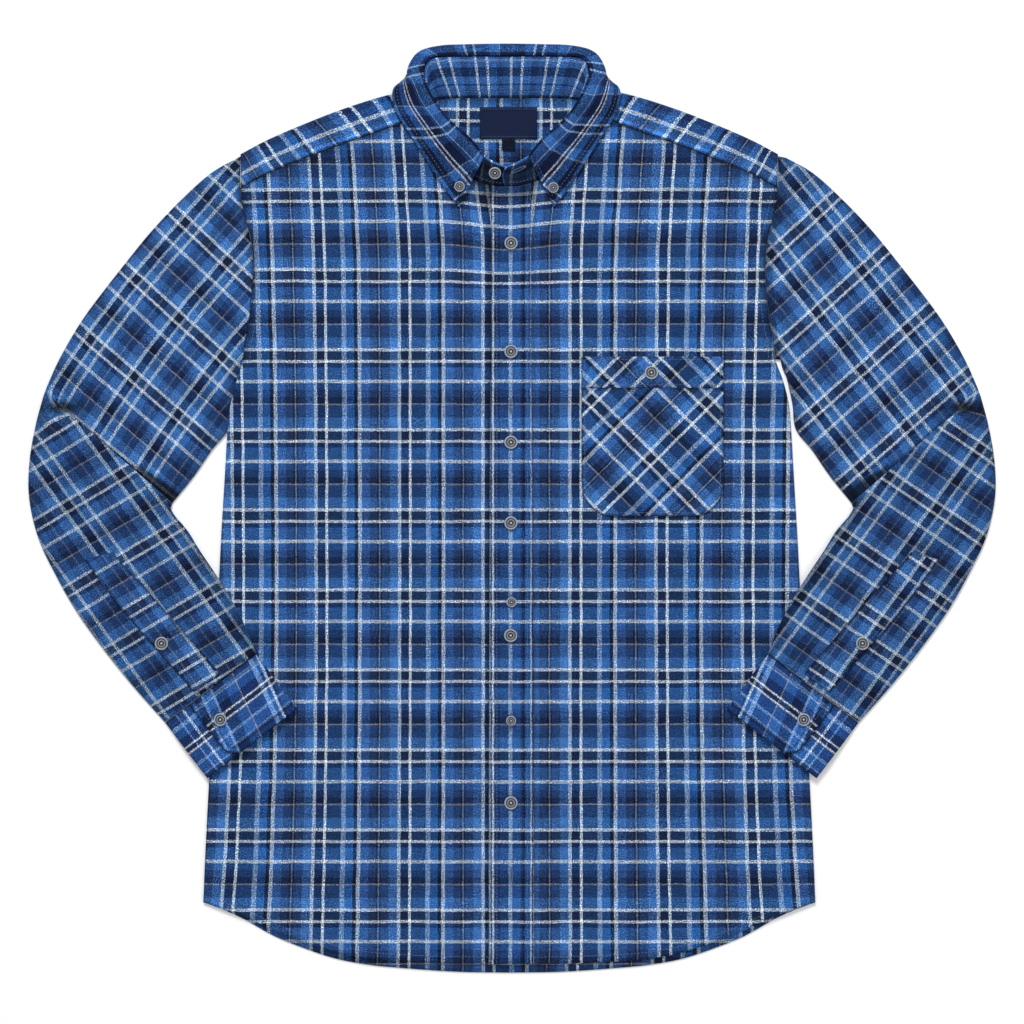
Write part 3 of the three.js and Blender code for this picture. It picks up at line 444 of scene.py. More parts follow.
class Table:
    """One column of a table as a smooth function of another, kept every half millimetre or less."""

    def __init__(self, rows, column=1, key=0, steps=1600):
        rows = sorted(rows, key=lambda row: row[key])
        keys, values = [row[key] for row in rows], [row[column] for row in rows]
        self.low, self.high, self.steps = keys[0], keys[-1], steps
        steps_up = zip(keys, keys[1:], values, values[1:])
        slopes = [(b - a) / (right - left) for left, right, a, b in steps_up]
        tangents = [slopes[0]] + [0.5 * (a + b) for a, b in zip(slopes, slopes[1:])] + [slopes[-1]]
        self.kept = []
        k = 0
        for i in range(steps + 1):
            place = mix(self.low, self.high, i / steps)
            while k < len(slopes) - 1 and place > keys[k + 1]:
                k += 1
            width = keys[k + 1] - keys[k]
            leave, arrive = tangents[k] * width, tangents[k + 1] * width
            share = (place - keys[k]) / width
            self.kept.append(hermite(values[k], values[k + 1], leave, arrive, share))

    def __call__(self, place):
        at = (min(max(place, self.low), self.high) - self.low) / (self.high - self.low) * self.steps
        k = min(int(at), self.steps - 1)
        return mix(self.kept[k], self.kept[k + 1], at - k)


# %% Body outline
CLOTH, DOUBLED, SEAM, LAYER = 1.2, 1.5, 0.3, 0.35
BODY_X, COLLAR_X = -2.5, -5.1
EDGE = [
    (325.2, 247.0), (294.9, 246.8), (270.0, 243.3), (247.0, 237.4), (221.3, 235.1), (195.5, 236.7),
    (171.6, 239.2), (152.3, 242.9), (135.7, 245.0), (119.1, 251.2), (95.2, 257.1), (72.2, 259.0),
    (26.2, 261.7), (-29.0, 265.0), (-84.2, 267.7), (-139.4, 270.5), (-194.6, 273.2),
    (-249.8, 276.0), (-305.0, 278.8), (-340.0, 280.4), (-362.0, 281.2),
]
HEM = [
    (0, -426.8, -418.8), (0.17, -426.0, -418.1), (0.344, -422.7, -416.3), (0.465, -419.4, -413.5),
    (0.573, -413.5, -407.1), (0.671, -404.3, -397.9), (0.768, -393.3, -387.3),
    (0.88, -375.8, -373.1), (1, -362.0, -362.0),
]
SHOULDER = [
    (76.0, 384.6, 81.2, 360.5), (107.9, 380.2, 112.0, 348.9), (150.2, 367.5, 152.0, 335.0),
    (189.8, 352.3, 190.0, 320.9), (222.0, 338.3, 222.0, 307.6), (246.8, 325.2, 246.5, 295.0),
]
BACK_YOKE_Y = 270.0
half_width = Table(EDGE)
back_hem = Table(HEM, 1)
front_hem = Table(HEM, 2)
yoke_seam = Table(SHOULDER, 3, key=2)
print("half width at the chest and hem, mm:", round(half_width(100), 1), round(half_width(-340), 1))

# %% [markdown]
# Laid cloth is never quite flat. Each fold below is a soft ridge (or a trough, where its height is
# negative) from one point to another. They are placed as the photograph shows them: drags
# from the armholes, slack beside the placket, and ripples up from the hem. A slow noise adds the
# small unevenness in between.

# %% Folds and heights of the body
BODY_FOLDS = [
    (-238, 150, -165, 250, 15, 1.6), (236, 148, 160, 262, 15, 1.6), (-246, 96, -150, 128, 16, 1.2),
    (245, 92, 214, 20, 14, 1.2), (-225, -330, -190, -210, 18, 1.3), (225, -335, 196, -235, 18, 1.3),
    (-110, -395, -100, -290, 18, 1.1), (120, -398, 104, -300, 18, 1.1),
]
FINE_FOLDS = [
    (-228, 268, -176, 300, 7, 0.7), (-232, 236, -196, 226, 6, -0.5), (-236, 205, -188, 172, 6, 0.7),
    (-240, 176, -206, 128, 7, -0.5), (-66, 226, -40, 128, 8, 0.6), (-34, 205, -30, 95, 6, -0.4),
    (-120, 214, -96, 60, 11, 0.5), (-188, 60, -142, -60, 12, 0.5), (-36, -30, -58, -150, 8, 0.5),
    (-30, -210, -44, -300, 7, 0.5), (-150, -250, -140, -330, 9, 0.5), (-70, -330, -66, -412, 9, 0.7),
    (-176, -388, -168, -300, 8, 0.6), (-238, -352, -226, -262, 8, 0.7), (-130, 262, -60, 232, 9, 0.5),
    (226, 270, 178, 300, 7, 0.7), (230, 238, 192, 224, 6, -0.5), (234, 206, 190, 176, 6, 0.7),
    (238, 176, 204, 132, 7, -0.5), (46, 232, 36, 140, 8, 0.6), (60, 200, 44, 90, 7, -0.4),
    (214, -40, 176, -120, 11, 0.5), (40, -20, 52, -130, 8, 0.5), (34, -190, 48, -286, 7, 0.5),
    (150, -250, 142, -334, 9, 0.5), (62, -336, 60, -412, 9, 0.7), (184, -388, 172, -296, 8, 0.6),
    (240, -350, 228, -258, 8, 0.7), (110, -40, 96, -150, 12, 0.4), (128, 262, 62, 236, 9, 0.5),
    (-34, 288, -8, 248, 5, 0.9), (-17, 292, -5, 252, 4, -0.6), (26, 290, 6, 250, 5, 0.9),
    (13, 291, 3, 255, 4, -0.5),
    (-58, 286, -20, 246, 6, 0.6), (50, 284, 20, 248, 6, 0.6),
]


def ridges(folds, x, y):
    height = 0.0
    for x0, y0, x1, y1, width, rise in folds:
        dx, dy = x1 - x0, y1 - y0
        t = min(1.0, max(0.0, ((x - x0) * dx + (y - y0) * dy) / (dx * dx + dy * dy)))
        away = ((x - x0 - t * dx) ** 2 + (y - y0 - t * dy) ** 2) / (width * width)
        if away < 8:
            height += rise * math.sin(math.pi * min(0.92, max(0.08, t))) * math.exp(-away)
    return height


def slack(x, y, size, seed=0.0):
    """Slow unevenness between -1 and 1."""
    return noise.noise(Vector((x / size, y / size, seed)))


def puff(x, y):
    from_side = half_width(y) - abs(x - BODY_X)
    inside = smooth(from_side / 34) * smooth((y + 415) / 40 + 0.25)
    middle = smooth(abs(x - BODY_X) / 60)
    neck = 1.6 * smooth((y - 230) / 60) * (1 - smooth((abs(x - BODY_X) - 60) / 120))
    return inside * (1.5 + 0.3 * middle) + neck + smooth(from_side / 12) * ridges(BODY_FOLDS, x, y)


FRONT_BOTTOM = CLOTH + SEAM
LAP = CLOTH + LAYER
PLACKET_LEFT, PLACKET_RIGHT = -19.3, 17.5


def under_forearm(x, y):
    """1 where a forearm or cuff lies on the front, so that no fold pushes up into it."""
    from_inside = abs(x) - 175 + 0.35 * max(0.0, y + 20)
    return smooth(from_inside / 25) * smooth(-y / 25) * smooth((y + 262) / 20)


def front_top(x, y):
    from_side = half_width(y) - abs(x - BODY_X)
    free = smooth(from_side / 14) * smooth((y + 424) / 16) * (1 - 0.85 * under_forearm(x, y))
    fine = ridges(FINE_FOLDS, x, y) + 0.55 * slack(x, y, 42) + 0.28 * slack(x, y, 17, 5.0)
    return FRONT_BOTTOM + CLOTH + puff(x, y) + free * (fine + 0.1)


def front_left_top(x, y):
    return front_top(x, y) + LAP * (1 - smooth((x - PLACKET_RIGHT - 4) / 42))


print("height of the right front at the chest, mm:", round(front_top(-100, 100), 2))

# %% [markdown]
# `panel` is the helper behind every piece of cloth. bmesh.ops.create_grid gives an even grid. Each
# of its points then moves to where the cloth lies, and its UV map "cut" keeps the same point's
# place on the cut cloth in millimetres, so the check follows the cloth round folds. A flat piece
# must face up: if it came out facing down, its faces are turned.

# %% A piece of cloth from a grid
def panel(name, columns, rows, place, cut, cloth, thickness=1.0, side=-1.0, tube=False,
          material_slot="flannel", shade=lambda u, v: 1.0):
    bm = bmesh.new()
    bmesh.ops.create_grid(bm, x_segments=columns, y_segments=rows, size=0.5)
    reach = max(v.co.x for v in bm.verts)
    spots = [((v.co.x + reach) / (2 * reach), (v.co.y + reach) / (2 * reach)) for v in bm.verts]
    uv_layer = bm.loops.layers.uv.new("cut")
    cuts = [Vector(cut(u, v)) for u, v in spots]
    for face in bm.faces:
        for loop in face.loops:
            loop[uv_layer].uv = cuts[loop.vert.index]
    shade_layer = bm.verts.layers.float.new("shade")
    for vert, (u, v) in zip(bm.verts, spots):
        vert.co = Vector(place(u, v)) * MM
        vert[shade_layer] = shade(u, v)
    bmesh.ops.remove_doubles(bm, verts=bm.verts, dist=1e-6)
    bm.normal_update()
    if tube:
        bmesh.ops.recalc_face_normals(bm, faces=bm.faces)
    elif sum(face.normal.z for face in bm.faces) < 0:
        bmesh.ops.reverse_faces(bm, faces=bm.faces)
    for face in bm.faces:
        face.smooth = True
    piece = mesh_object(name, bm, [cloth])
    wall = piece.modifiers.new("thickness", "SOLIDIFY")
    wall.thickness = thickness * MM
    wall.offset = side
    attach(piece, "root")
    return piece


# %% [markdown]
# ## Fronts, back and placket
# Both fronts share one way of laying: a point is a share of the way from the centre to the side
# seam, and a share of the way from the top edge to the hem. The wearer's left front laps over the
# right one at the middle. The check runs straight down, and bows out a little toward the hem, as
# the real side panels do.

# %% Neck and top edge of the fronts
BAND = [
    (9.2, 296.7, 5.4, 11.0, 322.5, 15.0), (25.8, 301.3, 5.4, 22.1, 326.1, 15.5),
    (47.8, 313.3, 5.6, 36.8, 341.8, 15.5), (66.2, 331.7, 6.0, 48.8, 351.9, 15.0),
    (76.0, 351.0, 6.4, 58.5, 363.0, 14.0), (77.5, 366.5, 6.0, 67.6, 377.5, 12.5),
    (71.5, 375.2, 5.0, 73.5, 391.5, 10.0), (63.0, 377.4, 3.6, 74.5, 405.3, 6.6),
    (53.4, 378.2, 3.0, 67.0, 413.5, 4.4), (31.3, 378.6, 2.9, 37.0, 415.0, 3.4),
    (0, 378.6, 2.9, 0, 415.0, 3.2),
]
NECK = []
for seam_x, seam_y, *rest in BAND[:5]:
    away = math.hypot(seam_x, seam_y - 345)
    NECK.append((seam_x * (away + 1.3) / away, 345 + (seam_y - 345) * (away + 1.3) / away))
neck_edge = Table(NECK)


def front_top_edge(x):
    from_collar = abs(x - COLLAR_X)
    if from_collar < NECK[4][0] + 0.01:
        return neck_edge(from_collar)
    return yoke_seam(abs(x - BODY_X)) - SEAM / 2


TOP_HALF = EDGE[1][1]


def body_point(share, down, top, hem):
    y = mix(top(BODY_X + share * TOP_HALF), hem(abs(share)), down)
    return BODY_X + share * half_width(y), y


def share_of(x):
    return (x - BODY_X) / TOP_HALF


def bow(x, y):
    """How far the stripes stand out from straight, in mm."""
    t = (-84.2 - y) / 266.8
    share = (x - BODY_X) / half_width(y)
    return math.copysign(11 * abs(share) ** 2.5 * t * t * (1 if t > 0 else 0.3), share)


WHITE_ROW = 72.2


def weft_place(x, y):
    """Rows sag below the open neck."""
    sag = 5.4 * bell(x - COLLAR_X, 36) * smooth((y - 180) / 60)
    return (WHITE_ROW - y - sag) * 72.8 / 73.5 + 1.6


def gathered(x, y):
    """Stripes beside the neck lean in toward the top button. Those on the chest spread upward."""
    away = abs(x + 1) / 26
    lean = 7.0 * away ** 2 * math.exp(2 - 2 * away) * smooth((y - 236) / 75)
    side = abs(x)
    spread = 6.5 * max(0.0, (y - 225) / 125) ** 1.3 * smooth((side - 40) / 50)
    spread *= 1 - 0.4 * smooth((side - 120) / 120)
    return x - math.copysign(lean + spread, x + 1)


# %% Fronts and placket
def strip_of_front(start, end):
    """Places on the fronts between two shares of their half width."""
    def spot(u, v):
        return body_point(mix(start, end, u), 1 - v, front_top_edge, front_hem)
    return spot


right_front_spot = strip_of_front(-1, share_of(PLACKET_RIGHT))
left_front_spot = strip_of_front(share_of(PLACKET_LEFT), 1)
placket_spot = strip_of_front(share_of(PLACKET_LEFT), share_of(PLACKET_RIGHT))


def hem_fold(x, y):
    """The turned-up hem: half a millimetre thicker over the last 7 mm."""
    edge = front_hem(min(1, abs(x - BODY_X) / half_width(y)))
    return 0.5 * (1 - smooth((y - edge - 6.0) / 1.6))


def laid(spot, top):
    def place(u, v):
        x, y = spot(u, v)
        return x, y, top(x, y) + hem_fold(x, y)
    return place


def placket_top(x, y):
    """The placket stands a layer above the front, and its stitched edges pull down a little."""
    from_edge = min(x - PLACKET_LEFT, PLACKET_RIGHT - x)
    pull = bell(from_edge - 5.4, 1.5)
    pucker = 0.16 * bell(from_edge - 5.4, 5) * slack(x * 0.3, y, 4.5, 9.0)
    return front_left_top(x, y) + LAYER + CLOTH - 0.3 * pull + pucker


RIGHT_CHECK, LEFT_CHECK = (-103.0, 76.6), (53.4, 79.1)


def front_cut(spot, check):
    """A front's check: where its first white line runs and how wide its repeat is, in mm."""
    first_line, repeat = check

    def cut(u, v):
        x, y = spot(u, v)
        return (gathered(x, y) - bow(x, y) - first_line) * 76.5 / repeat + 1.7, weft_place(x, y)
    return cut


def placket_cut(u, v):
    x, y = placket_spot(u, v)
    return x + 18.4, weft_place(x, y)


def front_shade(spot):
    """Painted shade in the armhole seam, under the yoke seam and collar, and beside the placket."""
    def shade(u, v):
        x, y = spot(u, v)
        from_side = half_width(y) - abs(x - BODY_X)
        armhole = 0.3 * bell(from_side, 3.0) * smooth((y - 130) / 8)
        seam = 0.35 * bell(front_top_edge(x) - y, 3.0)
        from_neck = math.hypot(x - COLLAR_X, y - 300) - 14
        neck = 0.5 * (1 - smooth(from_neck / 26)) * smooth((y - 262) / 18)
        beside = 0.25 * bell(x - PLACKET_LEFT + 1.5, 2.0) + 0.15 * bell(x - PLACKET_RIGHT - 1.5, 1.8)
        return max(0.2, (1 - armhole) * (1 - seam) * (1 - neck) * (1 - beside))
    return shade


# Painted shade along the placket's edges and under the collar.
def placket_shade(u, v):
    x, y = placket_spot(u, v)
    neck = 0.45 * smooth((y - 278) / 14)
    return (1 - 0.3 * bell(min(u, 1 - u) * 36.8, 1.1)) * (1 - neck)


front_right = panel(
    "front_right_cloth", 100, 230, laid(right_front_spot, front_top),
    front_cut(right_front_spot, RIGHT_CHECK), BODY_CLOTH, shade=front_shade(right_front_spot))
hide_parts("front_right")
front_left = panel(
    "front_left_cloth", 100, 230, laid(left_front_spot, front_left_top),
    front_cut(left_front_spot, LEFT_CHECK), BODY_CLOTH, shade=front_shade(left_front_spot))
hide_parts("front_left")
placket = panel(
    "front_placket_cloth", 30, 330, laid(placket_spot, placket_top), placket_cut, PLACKET_CLOTH,
    shade=placket_shade)
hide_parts("front_placket")
print("front faces:", len(front_right.data.polygons), "placket faces:", len(placket.data.polygons))


# %% Back
def back_spot(u, v):
    share = mix(-1, 1, u)
    y = mix(BACK_YOKE_Y, back_hem(abs(share)), 1 - v)
    return BODY_X + share * half_width(y), y


def back_place(u, v):
    x, y = back_spot(u, v)
    return x, y, CLOTH


back = panel(
    "back_cloth", 60, 80, back_place, front_cut(back_spot, RIGHT_CHECK), BODY_CLOTH, thickness=CLOTH)
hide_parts("back")

# %% [markdown]
# ## Yoke
# The yoke is one piece that goes from each front seam over the shoulder to the inside of the
# back. It is a loft: lines of points are set down in order, each line runs out from the neck to
# the armhole, and a smooth surface goes through all of them. Bending a flat sheet with modifiers
# would also do, but the lines put the fold exactly where the CAD solid has it.

# %% Lofts through lines of points
def loft(lines):
    """A smooth surface through lines of vectors: v picks the place among the lines, u along them."""
    def surface(u, v):
        last = len(lines) - 1
        k = min(int(v * last), last - 1)
        points = {i: through(lines[i], u) for i in range(max(0, k - 1), min(last, k + 2) + 1)}
        a, b = points[k], points[k + 1]
        before = points.get(k - 1, a * 2 - b)
        after = points.get(k + 2, b * 2 - a)
        return hermite(a, b, (b - before) * 0.5, (after - a) * 0.5, v * last - k)
    return surface


# A shoulder line: share of the way from seam to fold, height at the neck and at the armhole
SHOULDER_LINES = [
    (0.88, 4.9, 3.1), (0.97, 4.5, 2.7), (1, 3.8, 1.85), (0.97, 3.1, 1.0), (0.88, 2.9, 0.6),
]
# A line inside the back: its neck end from the collar's middle, its far end from the body's
BACK_LINES = [
    (73.2, 374.0, 244.6, 294.9), (64.6, 376.6, 243.3, 270.3), (53.8, 378.0, 180.0, 270.3),
    (31.6, 378.4, 90.0, 270.3),
]
MIDDLE_LINE = (0, 377.2, 0, 270.3)
YOKE_STEPS = len(SHOULDER) - 1
INSIDE_LOW, INSIDE_RISE = 0.6, 2.3


def shoulder_line(sign, key, height):
    line = []
    for k, (fold, fold_y, seam, seam_y) in enumerate(SHOULDER):
        x, y = BODY_X + sign * mix(seam, fold, key), mix(seam_y + SEAM / 2, fold_y, key)
        line.append(Vector((x, y, height(x, y, smooth(k / YOKE_STEPS * 1.6)))))
    return line


def back_line(sign, near_x, near_y, far_x, far_y):
    line = []
    for k in range(YOKE_STEPS + 1):
        t = k / YOKE_STEPS
        x, y = mix(COLLAR_X + sign * near_x, BODY_X + sign * far_x, t), mix(near_y, far_y, t)
        from_neck = math.hypot(x - COLLAR_X, y - 372) - 100
        line.append(Vector((x, y, INSIDE_LOW + INSIDE_RISE * (1 - smooth(from_neck / 60)))))
    return line


def yoke_half(sign):
    def on_front(x, y):
        return front_top(x, y) - CLOTH / 2

    lines = [
        shoulder_line(sign, 0, lambda x, y, t: on_front(x, y)),
        shoulder_line(sign, 0.45, lambda x, y, t: mix(on_front(x, y), 3.4, 0.3)),
    ]
    for key, near, far in SHOULDER_LINES:
        lines.append(shoulder_line(sign, key, lambda x, y, t: mix(near, far, t)))
    return lines + [back_line(sign, *ends) for ends in BACK_LINES]


YOKE_LINES = yoke_half(-1) + [back_line(1, *MIDDLE_LINE)] + yoke_half(1)[::-1]
yoke_surface = loft(YOKE_LINES)
YOKE_COUNT = len(YOKE_LINES) - 1


def yoke_place(u, v):
    x, y, z = yoke_surface(u, v)
    line = v * YOKE_COUNT
    strip = max(1 - smooth((line - 2.4) / 0.6), smooth((line - YOKE_COUNT + 3.0) / 0.6))
    seam = max(bell(line, 0.16), bell(YOKE_COUNT - line, 0.16))
    z += strip * (0.5 * slack(x, y, 30, 2.0) + 0.2 * slack(x, y, 11, 3.0)) + 0.35 * seam
    return x, y, max(z, CLOTH / 2)


STRIP_WIDTHS = [0, 11.5, 22.5, 25.0, 26.5, 28.0]


def yoke_cut(u, v):
    """Strips on the shoulders are cut along the shoulder; the inside of the back is cut straight."""
    x, y, z = yoke_surface(u, v)
    line = v * YOKE_COUNT
    if 5.0 < line < YOKE_COUNT - 5.0:
        return x - 26.7 + 1.7, 366.6 - y + 1.6
    sign = -1 if line < YOKE_COUNT / 2 else 1
    place = line if sign < 0 else YOKE_COUNT - line
    k = min(int(place), len(STRIP_WIDTHS) - 2)
    from_seam = mix(STRIP_WIDTHS[k], STRIP_WIDTHS[k + 1], place - k)
    return sign * (u * 175 + 18 - 0.75 * from_seam), from_seam + 3.0 * u + 17.0


def yoke_shade(u, v):
    """Painted shade in both front seams and where the inside meets the band and the back seam, and a
    painted highlight beside each front seam on its half nearer the neck.
    """
    line = v * YOKE_COUNT
    from_seam = min(line, YOKE_COUNT - line) * 11.5
    # Painted highlight beside each front seam; the seam term below is painted shade.
    lit = 0.45 * bell(from_seam - 3.4, 1.3) * (1 - smooth((u - 0.5) / 0.2))
    seam = 0.5 * bell(from_seam, 1.6) - lit
    band = 0.35 * bell(u, 0.05) * smooth((min(line, YOKE_COUNT - line) - 5) / 2)
    return (1 - seam) * (1 - band) * (1 - 0.25 * smooth((u - 0.985) / 0.015))


yoke = panel(
    "yoke_cloth", 70, 176, yoke_place, yoke_cut, BODY_CLOTH, thickness=CLOTH, side=0.0,
    shade=yoke_shade)
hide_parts("yoke")

# %% [markdown]
# ## Collar
# The band stands round the neck and its left end laps over the right one. The leaf falls from it
# onto the fronts, and at the back it is folded under. Both are lofts, from one front end round
# the neck to the other. The leaf carries a doubled edge with a row of stitches 6 mm in, which
# shows as a soft groove.

# %% Band
BAND_POINTS = 4


def band_line(sign, row, lift=0.0, sag=0.0, lap=None):
    """One line up the band. A lapped end runs past the middle by lap(share of the way up)."""
    seam_x, seam_y, seam_z, top_x, top_y, top_z = row
    line = []
    for k in range(BAND_POINTS):
        t = k / (BAND_POINTS - 1)
        from_middle = -lap(t) if lap else mix(seam_x, top_x, t)
        y = mix(seam_y, top_y, t) - sag * t - (10.0 * t * t if lap else 0)
        z = mix(seam_z, top_z, t) + 0.6 * math.sin(math.pi * t) + lift
        line.append(Vector((COLLAR_X + sign * from_middle, y, z)))
    return line


def band_half(sign, lifts):
    """The rows beside the lapped ends sag toward them. Lifts raise the left ones over the right."""
    sags = [5.6, 1.6] + [0.0] * len(BAND)
    lifts = lifts + [0.0] * len(BAND)
    return [band_line(sign, row, lift, sag) for row, lift, sag in zip(BAND, lifts, sags)]


def right_lap(t):
    return 2.0 - 2.6 * t * t


def left_lap(t):
    """The left end lies on top and is cut round."""
    return right_lap(t) + math.sin(math.pi * min(1, t * 1.1)) * 2.2


def band_lines():
    first = band_line(-1, BAND[0], -0.4, lap=right_lap)
    last = band_line(1, BAND[0], 2.6, lap=left_lap)
    return [first] + band_half(-1, [-0.2]) + band_half(1, [2.4, 0.6])[:-1][::-1] + [last]


band_surface = loft(band_lines())


def run_length(surface, along, steps=240):
    """Distance round a loft at one place across it, as a function of v."""
    points = [surface(along, k / steps) for k in range(steps + 1)]
    kept = [0.0]
    for a, b in zip(points, points[1:]):
        kept.append(kept[-1] + (b - a).length)

    def run(v):
        k = min(int(v * steps), steps - 1)
        return mix(kept[k], kept[k + 1], v * steps - k)
    return run


band_run = run_length(band_surface, 0.5)
BAND_LENGTH = band_run(1.0)


SEWN_ON, BAND_SEAM_LINE, BAND_TOP_LINE = 0.06, 0.12, 0.9


def band_place(u, v):
    point = band_surface(u, v)
    if u < SEWN_ON:
        # The lowest edge is sewn onto the yoke and fronts
        point += (point - band_surface(u + SEWN_ON, v)).normalized() * 1.6 * (1 - u / SEWN_ON)
    seam = bell(u - BAND_SEAM_LINE, 0.045) + bell(u - BAND_TOP_LINE, 0.045)
    wave = 0.35 * slack(v * BAND_LENGTH, u * 30, 13, 4.0)
    return point.x, point.y, point.z - 0.3 * seam + wave * math.sin(math.pi * u)


def band_cut(u, v):
    return band_run(v) - BAND_LENGTH / 2 - 2.1, 36.5 * u


def band_shade(u, v):
    """Painted shade: the front ends stand in the shade of the collar, the right one under the left
    one, whose own edge gets a painted highlight where it catches the light, as do the top edges near
    both front ends. The seams get painted shade all round."""
    from_end = min(v, 1 - v) * BAND_LENGTH
    ends = (0.62 if v < 0.5 else 0.5) * (1 - smooth((from_end - 38) / 40))
    if v < 0.5:
        ends += 0.25 * (1 - smooth((from_end - 5) / 3))
    elif from_end < 1.2:
        # Painted highlight on the left end's own edge.
        ends = -0.35
    seam = 0.2 * bell(u - BAND_SEAM_LINE, 0.04) + 0.4 * smooth((0.08 - u) / 0.08)
    # Painted highlight along the top edges near both front ends.
    painted_edge_highlight = 0.45 * smooth((u - 0.94) / 0.05) * (1 - smooth((from_end - 45) / 20))
    return (1 - ends * smooth((0.97 - u) / 0.06)) * (1 - seam) * (1 + painted_edge_highlight)


collar_band = panel(
    "collar_band_cloth", 22, 200, band_place, band_cut, BAND_CLOTH, thickness=DOUBLED, side=0.0,
    shade=band_shade)
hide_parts("collar_band")

# %% Leaf
LEAF = [
    (20.2, 322.5, 17.9, 23.8, 315.0, 16.6, 43.7, 276.5, 8.6),
    (28.0, 333.2, 17.9, 33.0, 325.0, 16.8, 50.8, 285.7, 9.2),
    (36.8, 342.6, 17.4, 42.0, 334.0, 17.0, 58.8, 296.3, 9.4),
    (48.8, 352.6, 17.0, 54.8, 346.0, 16.6, 73.6, 319.7, 9.4),
    (58.0, 362.9, 16.0, 65.0, 358.2, 15.6, 88.3, 342.7, 9.2),
    (67.4, 377.3, 14.6, 76.0, 373.8, 14.2, 101.2, 363.9, 9.0),
    (74.0, 392.0, 12.2, 83.5, 391.0, 11.4, 104.4, 382.6, 7.2),
    (75.8, 405.6, 8.8, 89.5, 402.0, 6.6, 95.5, 391.0, 0.9),
    (67.6, 414.4, 6.4, 80.5, 418.5, 3.9, 74.0, 388.0, 0.8),
    (55.0, 415.8, 5.6, 60.5, 424.6, 3.4, 55.2, 384.5, 0.8),
    (30.0, 416.2, 5.0, 32.0, 425.9, 3.2, 31.3, 383.0, 0.8),
    (0, 416.2, 5.0, 0, 426.35, 3.2, 0, 383.0, 0.8),
]


def leaf_half(sign):
    lines = []
    for k, row in enumerate(LEAF):
        top, (crest_x, crest_y, crest_z), (edge_x, edge_y, edge_z) = row[:3], row[3:6], row[6:]
        # At the back of the neck the leaf is folded under and lies on the floor
        under = smooth((k - 5.2) / 2.6)
        line = [Vector((COLLAR_X + sign * x, y, z)) for x, y, z in (top, row[3:6])]
        for t in (0.12, 0.4, 0.7, 1):
            folded = crest_z - 0.55 * under * (crest_z - 0.8) if t < 0.2 else 0.8
            z = mix(mix(crest_z, edge_z, t), folded, under)
            x = COLLAR_X + sign * mix(crest_x, edge_x, t)
            line.append(Vector((x, mix(crest_y, edge_y, t), z)))
        lines.append(line)
    return lines


leaf_surface = loft(leaf_half(-1) + leaf_half(1)[:-1][::-1])
leaf_run = run_length(leaf_surface, 0.4)
LEAF_LENGTH = leaf_run(1.0)


LEAF_DEPTH, STITCH_LINE = 50, 6.2


def leaf_edges(u, v):
    """Distances in mm from the long edge and from the nearer end."""
    return (1 - u) * LEAF_DEPTH, min(v, 1 - v) * LEAF_LENGTH


def leaf_place(u, v):
    point = leaf_surface(u, v)
    from_edge, from_end = leaf_edges(u, v)
    groove = bell(from_edge - STITCH_LINE, 1.5) + bell(from_end - STITCH_LINE, 1.5)
    run, down = v * LEAF_LENGTH, u * 40
    roll = 0.5 * slack(run, down, 24, 6.0) + 0.15 * slack(run, down, 9, 7.0)
    z = point.z - 0.28 * min(1, groove) + roll * smooth(from_edge / 8) * smooth(u * 4)
    return point.x, point.y, max(z, DOUBLED / 2)


def leaf_cut(u, v):
    slant = 8 * max(0.0, 0.35 - u) - 38 * max(0.0, u - 0.35)
    slant = math.copysign(1 - smooth((min(v, 1 - v) - 0.03) / 0.42), 0.5 - v) * slant
    return leaf_run(v) - LEAF_LENGTH / 2 - 4.8 + slant, 52 * u - 8


# Painted shade in the stitched grooves along the long edge and the ends.
def leaf_shade(u, v):
    from_edge, from_end = leaf_edges(u, v)
    groove = 0.3 * bell(from_edge - STITCH_LINE, 1.3) + 0.35 * bell(from_end - STITCH_LINE, 1.3)
    return 1 - min(0.35, groove)


collar_leaf = panel(
    "collar_leaf_cloth", 50, 220, leaf_place, leaf_cut, LEAF_CLOTH, thickness=DOUBLED, side=0.0,
    shade=leaf_shade)
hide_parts("collar_leaf")
print("collar: band, mm", round(BAND_LENGTH), "leaf, mm", round(LEAF_LENGTH))

# %% [markdown]
# ## Sleeves
# Each sleeve is a flattened tube. A section goes over the top from the outer edge to the inner
# one, round, and back along the underside, which is flat. At the elbow the forearm is folded over
# the end of the upper arm: the top layer runs on under the fold, turns back and turns again, like
# the letter Z, so the fold throws a real shadow; painted shade deepens it in the wedge under the
# fold. It fades out toward the outer edge in a pucker, which painted shade darkens too.

